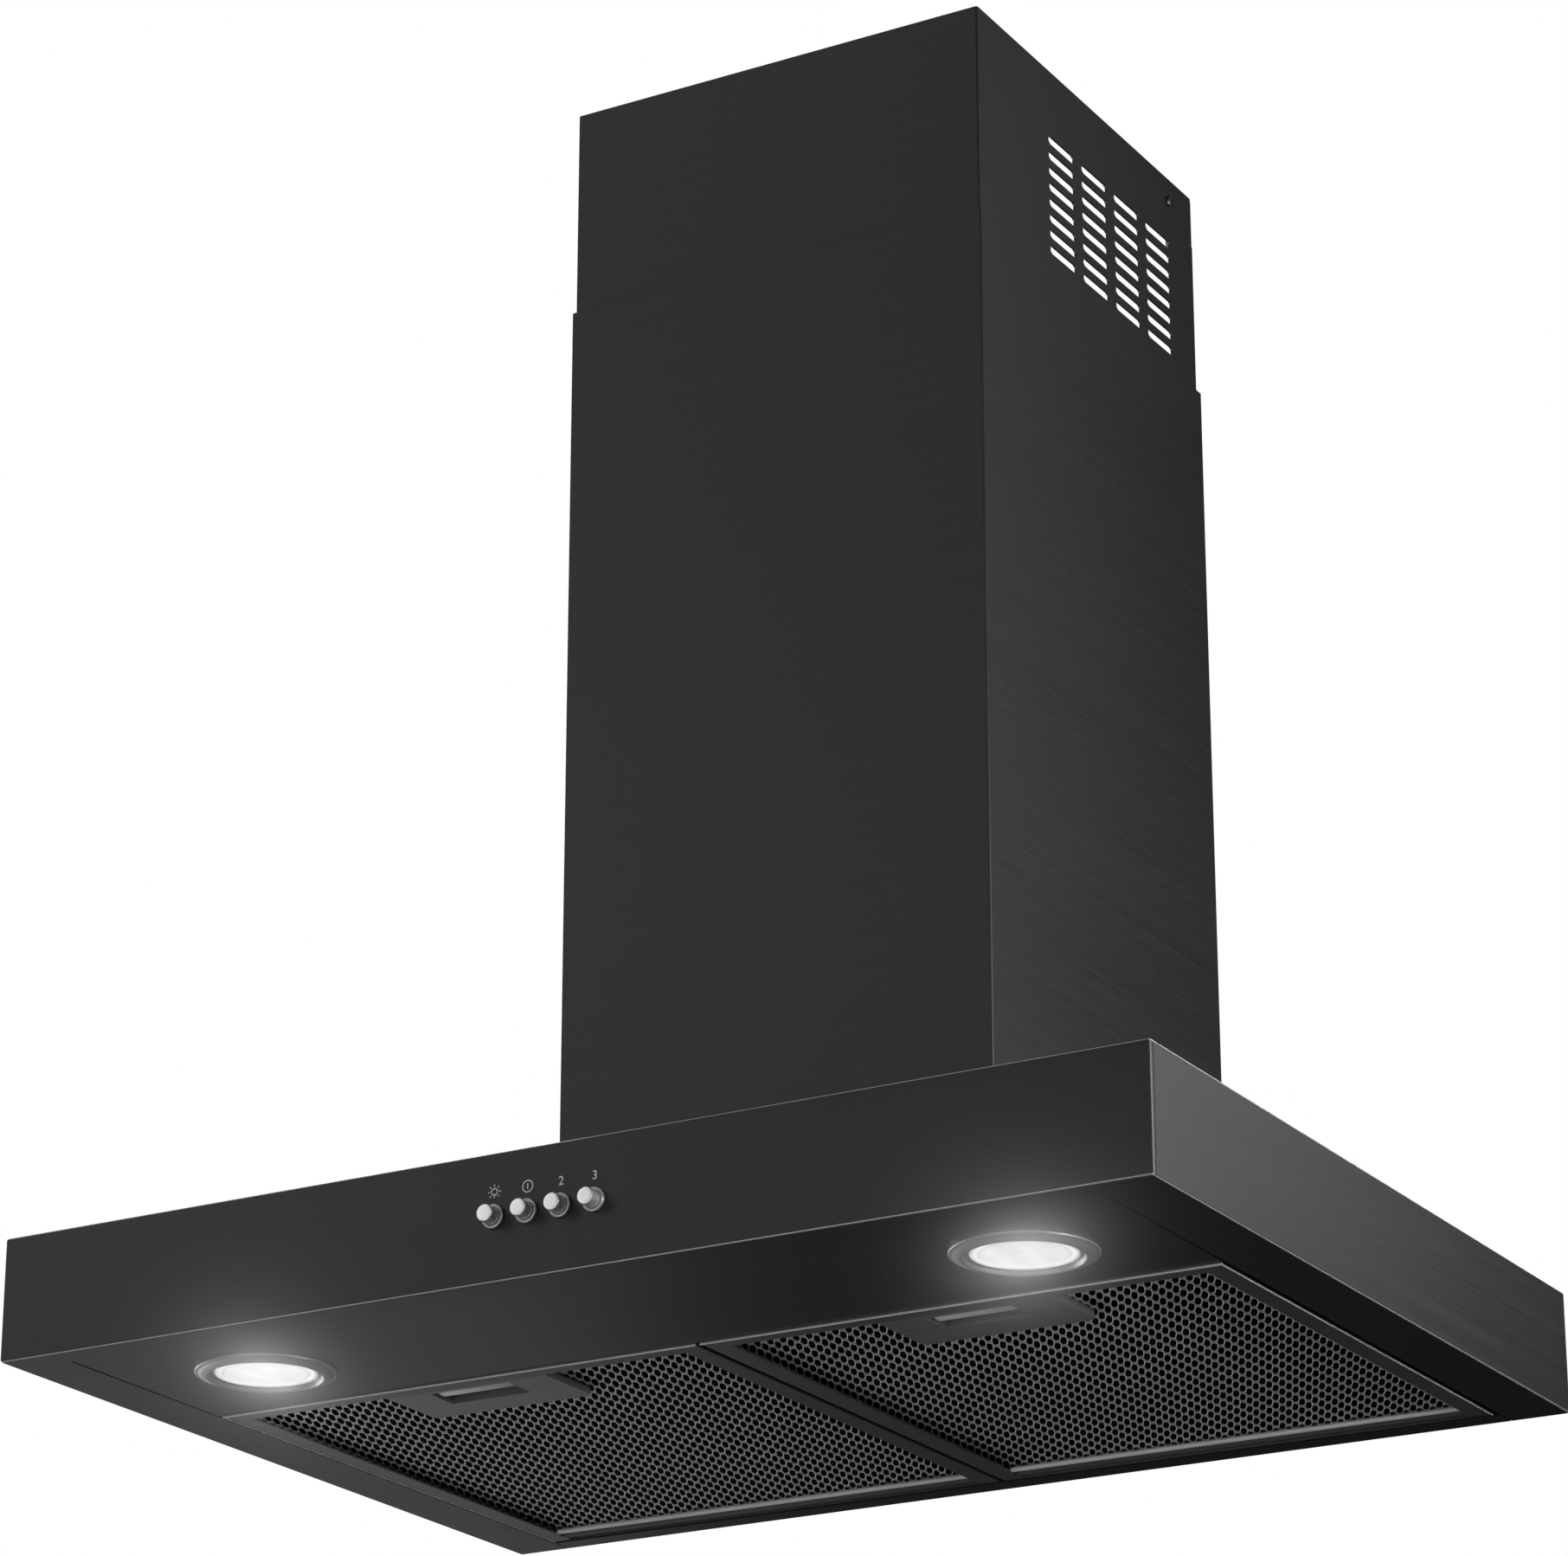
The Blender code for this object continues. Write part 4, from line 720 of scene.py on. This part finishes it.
def expanded_sheet(low, high, crest, inward):
    """Expanded metal over a rectangle: each cell is a ring of strand round its hole, with a wall and a back.

    The strands' crests are on the outer side. Inward is +1 for a sheet seen from below, -1 for one from above.
    """
    bm = bmesh.new()
    outline = cell_outline()
    length = STRANDS[2].normalized()
    hole = []
    for i, point in enumerate(outline):
        lengthwise = length * point.dot(length)
        shrunk = lengthwise * HOLE_LENGTH_SHARE + (point - lengthwise) * HOLE_WIDTH_SHARE
        hole.append(shrunk * (CORNER_SHARE if i % 2 == 0 else 1.0))
    columns = int((high.x - low.x + 2 * SHEET_MARGIN.x) / CELL_ACROSS) + 1
    rows = int((high.y - low.y + 2 * SHEET_MARGIN.y) / CELL_BACK) + 1
    back = crest + inward * SHEET_DEPTH
    levels = ((outline, crest), (hole, crest + inward * STRAND_RELIEF), (hole, back), (outline, back))
    for column in range(columns):
        for row in range(rows):
            x = low.x - SHEET_MARGIN.x + column * CELL_ACROSS
            y = low.y - SHEET_MARGIN.y + row * CELL_BACK
            rings = [[bm.verts.new((x + point.x, y + point.y, z)) for point in shape] for shape, z in levels]
            for inner, outer in zip(rings, rings[1:]):
                for i in range(len(inner)):
                    j = (i + 1) % len(inner)
                    bm.faces.new((inner[i], inner[j], outer[j], outer[i]))
    bmesh.ops.remove_doubles(bm, verts=bm.verts, dist=1e-6)
    return bm


def split_at(bm, point, normal, clear):
    """Cut a mesh along a plane, and drop what is in front of it if clear is set."""
    bmesh.ops.bisect_plane(bm, geom=bm.verts[:] + bm.edges[:] + bm.faces[:], dist=MERGE_DISTANCE,
                           plane_co=point, plane_no=normal, clear_outer=clear)


def latch_notch(side):
    """The left, right and back limits of the notch that a filter's sheets have round the latch plate."""
    low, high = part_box(f"latch_plate_{side}")
    return low.x - NOTCH_GAP, high.x + NOTCH_GAP, high.y + NOTCH_GAP


def make_filter_sheet(piece_name, side, crest, inward, replaced=()):
    """One expanded sheet of a filter, cut out round the latch plate, with near-black painted shade on the walls
    inside its holes.
    """
    low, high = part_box(f"filter_mesh_{side}")
    left, right, back = latch_notch(side)
    bm = expanded_sheet(low, high, crest, inward)
    for point, normal in ((low, (-1, 0, 0)), (low, (0, -1, 0)), (high, (1, 0, 0)), (high, (0, 1, 0))):
        split_at(bm, point, normal, True)
    for point, normal in (((left, 0, 0), (1, 0, 0)), ((right, 0, 0), (1, 0, 0)), ((0, back, 0), (0, 1, 0))):
        split_at(bm, point, normal, False)
    inside = [face for face in bm.faces if left < face.calc_center_median().x < right
              and face.calc_center_median().y < back]
    bmesh.ops.delete(bm, geom=inside, context="FACES")
    bmesh.ops.holes_fill(bm, edges=[edge for edge in bm.edges if edge.is_boundary], sides=0)
    sheet = finish_piece(piece_name, bm, "filter_mesh", f"filter_{side}", replaced, 80.0)
    # Painted shade: the walls inside the holes go near-black
    add_finish(sheet, "painted_shade_layers", lambda face: abs(face.normal.z) < 0.3)


def make_filter_mesh(side):
    """The filter's pack: an expanded sheet below and above, and inner layers between them, near-black as painted
    shade.
    """
    low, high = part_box(f"filter_mesh_{side}")
    left, right, back = latch_notch(side)
    crest = low.z - 0.2 * MM
    make_filter_sheet(f"expanded_sheet_{side}", side, crest, 1, (f"filter_mesh_{side}",))
    make_filter_sheet(f"back_sheet_{side}", side, crest + BACK_SHEET_RISE, -1)
    inner_low = crest + SHEET_DEPTH + INNER_GAP
    outline = [(low.x, low.y), (left, low.y), (left, back), (right, back), (right, low.y), (high.x, low.y),
               (high.x, high.y), (low.x, high.y)]
    # Painted shade: the inner layers are near-black
    finish_piece(f"inner_layers_{side}", extruded(outline, "Z", inner_low, inner_low + INNER_THICKNESS),
                 "filter_mesh", f"filter_{side}", finish="painted_shade_layers")


def make_filter_lips(side):
    """Thin rods in a near-white finish along a filter frame's front and outer side, and along its rear bead. On
    the front and side they are the frame's rolled edge, made bright as a painted highlight; on the bead the rod
    is a painted highlight line only.
    """
    low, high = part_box(f"filter_frame_{side}")
    drop = low.z + LIP_DROP
    edge = high.x - LIP_RADIUS if side == "right" else low.x + LIP_RADIUS
    front_lip = rod("X", (low.y + LIP_RADIUS, drop), LIP_RADIUS, low.x, high.x, 12)
    side_lip = rod("Y", (edge, drop), LIP_RADIUS * 0.7, low.y, high.y, 12)
    bead_highlight = rod("X", (high.y - BEAD_HIGHLIGHT_PLACE.x, low.z + BEAD_HIGHLIGHT_PLACE.y), BEAD_HIGHLIGHT_RADIUS, low.x + BEAD_HIGHLIGHT_INSET,
              high.x - BEAD_HIGHLIGHT_INSET, 24)
    finish_piece(f"frame_lip_highlight_{side}", merged(front_lip, side_lip, bead_highlight), "filter_metal", f"filter_{side}",
                 finish="painted_edge_highlight")


def make_latch_grip(side):
    """The sliding grip: a bar with a rounded top, on the tongue that holds the filter up."""
    low, high, centre = box_and_centre(f"latch_slider_{side}")
    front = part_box(f"latch_plate_{side}")[0].y + 6.2 * MM
    back = high.y + 1.0 * MM
    middle, half_depth = (front + back) / 2, (back - front) / 2
    crown, arc_steps = 2.2 * MM, 14
    outline = [(back, high.z), (front, high.z)]
    outline += [(middle + half_depth * cos(turn), low.z + crown + crown * sin(turn))
                for turn in [pi + pi * i / arc_steps for i in range(arc_steps + 1)]]
    bar = extruded(outline, "X", low.x, high.x)
    ends = [edge for edge in bar.edges if abs(edge.verts[0].co.x - edge.verts[1].co.x) < MERGE_DISTANCE]
    bmesh.ops.bevel(bar, geom=ends, offset=0.5 * MM, segments=2, profile=0.5, affect="EDGES")
    half_width, thickness, overlap = 9.5 * MM, 2.9 * MM, 2.0 * MM
    tongue = rounded_box((centre.x - half_width, low.y, high.z - thickness),
                         (centre.x + half_width, front + overlap, high.z), 0.4 * MM, 2)
    finish_piece(f"latch_grip_{side}", merged(bar, tongue), "filter_metal", f"latch_{side}",
                 (f"latch_slider_{side}",), 50.0, "grip_metal")


# Screws

# Share of the head's radius, and how far below the crown the surface is there
HEAD_PROFILE = ((0.0, 0.0), (0.35, 0.04 * MM), (0.62, 0.2 * MM), (0.85, 0.55 * MM), (1.0, 1.15 * MM))
HEAD_HEIGHT = 1.8 * MM
SHANK_SHARE = 0.6
CROSS_HALF_WIDTH = 0.35 * MM
CROSS_REACH = 1.6 * MM
CROSS_DEPTH = 1.0 * MM


def make_screws():
    """Pan heads with a cross recess, one for each screw node."""
    for name in [node for node in NODES if "screw" in node]:
        low, high, centre = box_and_centre(name)
        along = 0 if "bracket" in name else 2
        others = [i for i in range(3) if i != along]
        radius = (high - low)[others[0]] / 2
        outward = 1.0 if along == 2 or centre.x > 0.0 else -1.0
        crown, tail = (high[along], low[along]) if outward > 0.0 else (low[along], high[along])
        seat = crown - outward * HEAD_HEIGHT
        profile = [(radius * share, crown - outward * drop) for share, drop in HEAD_PROFILE]
        profile += [(radius, seat), (radius * SHANK_SHARE, seat), (radius * SHANK_SHARE, tail), (0.0, tail)]
        head = turned(profile, "XYZ"[along], centre, 28)
        centre[along] = crown
        for first in others:
            reach = Vector(same(CROSS_HALF_WIDTH))
            reach[first], reach[along] = CROSS_REACH, CROSS_DEPTH
            head = carved(head, rounded_box(centre - reach, centre + reach, 0.1 * MM, 1))
        body = next(key for key, members in frame["record"]["behaviour"]["bodies"].items() if name in members)
        finish_piece(f"{name}_head", head, "screw_steel", body, (name,), 35.0)


# Wiring on the back of the blower box

LEAD_RADIUS = 1.1 * MM
# Finish, and place beside the capacitor's middle
LEADS = (("lead_blue", -2.5 * MM), ("lead_brown", 2.5 * MM))
LID_SCREW_INSET = 6.0 * MM
# Radius, and how far the surface stands above the lid
LID_SCREW_PROFILE = ((0.0, 0.9 * MM), (1.4 * MM, 0.8 * MM), (2.2 * MM, 0.3 * MM), (2.2 * MM, -0.2 * MM),
                     (0.0, -0.2 * MM))
SLOT_LOW = Vector((-1.7 * MM, 0.4 * MM, -0.3 * MM))
SLOT_HIGH = Vector((1.7 * MM, 1.5 * MM, 0.3 * MM))


def make_leads():
    """Two leads from the top of the capacitor into the side of the terminal box."""
    _, can_high, can = box_and_centre("capacitor")
    box_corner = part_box("terminal_box")[1]
    y = can.y
    for i, (finish, offset) in enumerate(LEADS):
        entry = Vector((box_corner.x, y - 2.0 * MM, box_corner.z - 12.0 * MM - i * 6.0 * MM))
        x, top = can.x + offset, can_high.z + 9.0 * MM + i * 2.0 * MM
        points = [(x, y, can_high.z - 0.5 * MM), (x, y, can_high.z + 5.0 * MM), (x - 2.0 * MM, y, top),
                  (can.x - 14.0 * MM, y - 1.0 * MM, top + 1.0 * MM),
                  ((can.x + entry.x) / 2 - 4.0 * MM, y - 1.5 * MM, (top + entry.z) / 2),
                  (entry.x + 9.0 * MM, entry.y, entry.z), (entry.x - 1.0 * MM, entry.y, entry.z)]
        finish_piece(f"capacitor_lead_{i + 1}", tube(points, LEAD_RADIUS), "black_plastic", "hood",
                     finish=finish)


def make_lid_screws():
    """A slotted screw near each corner of the terminal box's lid."""
    low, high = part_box("terminal_box_lid")
    places = [(x, z) for x in (low.x + LID_SCREW_INSET, high.x - LID_SCREW_INSET)
              for z in (low.z + LID_SCREW_INSET, high.z - LID_SCREW_INSET)]
    for i, (x, z) in enumerate(places, 1):
        foot = Vector((x, high.y, z))
        profile = [(radius, high.y + rise) for radius, rise in LID_SCREW_PROFILE]
        slot = rounded_box(foot + SLOT_LOW, foot + SLOT_HIGH, 0.05 * MM, 1)
        finish_piece(f"lid_screw_{i}", carved(turned(profile, "Y", Vector((x, 0.0, z)), 24), slot),
                     "screw_steel", "hood", sharp=35.0)


# Stage: floor, lights, world and camera

FLOOR_HEIGHT = -1.55
FLOOR_RADIUS = 9.0
WORLD_COLOR = (1.0, 0.985, 0.99, 1.0)
WORLD_STRENGTH = 0.01
CAMERA_PLACE = (1.24754, -2.40151, -0.69352)
CAMERA_RIGHT = (0.86637, 0.49940, 0.00036)
CAMERA_LENS = 125.17

# name: place, target, size in metres and power in watts
STUDIO_LIGHTS = {
    "front_left": ((-2.0, -2.4, 1.0), (-0.1, -0.3, 0.2), 1.8, 11.4),
    "high_front": ((-1.0, -1.5, 2.2), (0.0, -0.2, 0.3), 1.2, 4.8),
    "front": ((0.2, -3.2, -0.1), (0.0, -0.3, 0.2), 2.0, 12.0),
    "low_front": ((-0.5, -1.7, -0.8), (-0.1, -0.4, 0.0), 0.8, 2.6),
    "low_left": ((-2.2, 0.2, -0.6), (-0.25, -0.2, 0.0), 1.0, 22.0),
    "low_back_left": ((-1.3, 1.0, -0.5), (-0.25, -0.2, 0.0), 0.8, 0.66),
    "right": ((1.05, -0.42, 0.05), (0.30, -0.40, 0.0), 0.35, 9.9),
    "right_canopy": ((0.62, -0.30, 0.25), (0.30, -0.40, 0.0), 0.25, 1.05),
    "right_canopy_sheen": ((0.78, 0.25, 0.30), (0.25, -0.25, 0.0), 0.4, 0.63),
    "right_chimney_sheen": ((0.72, 0.30, 0.85), (0.12, -0.12, 0.4), 0.6, 0.57),
    "back": ((-1.4, 2.2, 1.3), (0.0, 0.0, 0.25), 1.2, 75.0),
}


def seen_or_lighting(tree, lighting, seen):
    """One shader for what the camera sees, and another for the light that a surface gives."""
    rays = add_node(tree, "ShaderNodeLightPath").outputs["Is Camera Ray"]
    return add_node(tree, "ShaderNodeMixShader", {0: rays, 1: lighting, 2: seen}).outputs[0]


def make_floor():
    """A plain pale floor well below the hood. It shows pale and sends only a little light back up."""
    bpy.ops.mesh.primitive_circle_add(vertices=96, radius=FLOOR_RADIUS, fill_type="NGON",
                                      location=(0.0, 0.0, FLOOR_HEIGHT))
    floor = bpy.context.object
    floor.name = "floor"
    material, tree, shader = new_material("pale_floor", 0.8, 0.0)
    mottle = noise(tree, same(3.0), 3.0)
    link(tree, shader, "Base Color", blend_colors(tree, mottle, same(0.08), same(0.10)))
    seen = blend_colors(tree, mottle, same(0.95), same(0.98))
    pale = add_node(tree, "ShaderNodeEmission", {"Color": seen})
    surface = seen_or_lighting(tree, shader.outputs[0], pale.outputs[0])
    tree.links.new(surface, tree.nodes["Material Output"].inputs["Surface"])
    floor.data.materials.append(material)


def make_world():
    """White behind the object, dimmer where it lights and reflects."""
    world = bpy.data.worlds.new("studio")
    scene.world = world
    world.use_nodes = True
    tree = world.node_tree
    tree.nodes.clear()
    white = add_node(tree, "ShaderNodeBackground", {"Color": (1.0, 1.0, 1.0, 1.0), "Strength": 1.0}).outputs[0]
    soft = add_node(tree, "ShaderNodeBackground", {"Color": WORLD_COLOR, "Strength": WORLD_STRENGTH}).outputs[0]
    output = add_node(tree, "ShaderNodeOutputWorld")
    tree.links.new(seen_or_lighting(tree, soft, white), output.inputs["Surface"])


def make_lights():
    """Soft square lights: broad from the front left, close and low on the right, gentle from behind."""
    for name, (place, target, size, watts) in STUDIO_LIGHTS.items():
        data = bpy.data.lights.new(name, "AREA")
        data.shape = "SQUARE"
        data.size = size
        data.energy = watts
        item = add_object(name, data)
        item.location = place
        item.rotation_euler = (Vector(target) - Vector(place)).to_track_quat("-Z", "Y").to_euler()
        item.visible_camera = False


def make_camera():
    """The camera low in front of the hood, to its right, looking up and back at it."""
    data = bpy.data.cameras.new("camera")
    data.sensor_width = 36.0
    data.sensor_fit = "HORIZONTAL"
    data.lens = CAMERA_LENS
    data.clip_end = 100.0
    camera = add_object("camera", data)
    forward = Vector(SIGHT_LINE)
    up = Vector(CAMERA_RIGHT).cross(forward).normalized()
    side = forward.cross(up).normalized()
    turn = Matrix((side, up, -forward.normalized())).transposed().to_4x4()
    camera.matrix_world = Matrix.Translation(CAMERA_PLACE) @ turn
    scene.camera = camera
    scene.view_settings.view_transform = "Standard"


dress_cad_nodes()
make_lamps()
make_buttons()
make_signs()
for side in SIDES:
    make_filter_mesh(side)
    make_filter_lips(side)
    make_latch_grip(side)
make_screws()
make_leads()
make_lid_screws()
soften_cad_nodes()
make_floor()
make_world()
make_lights()
make_camera()
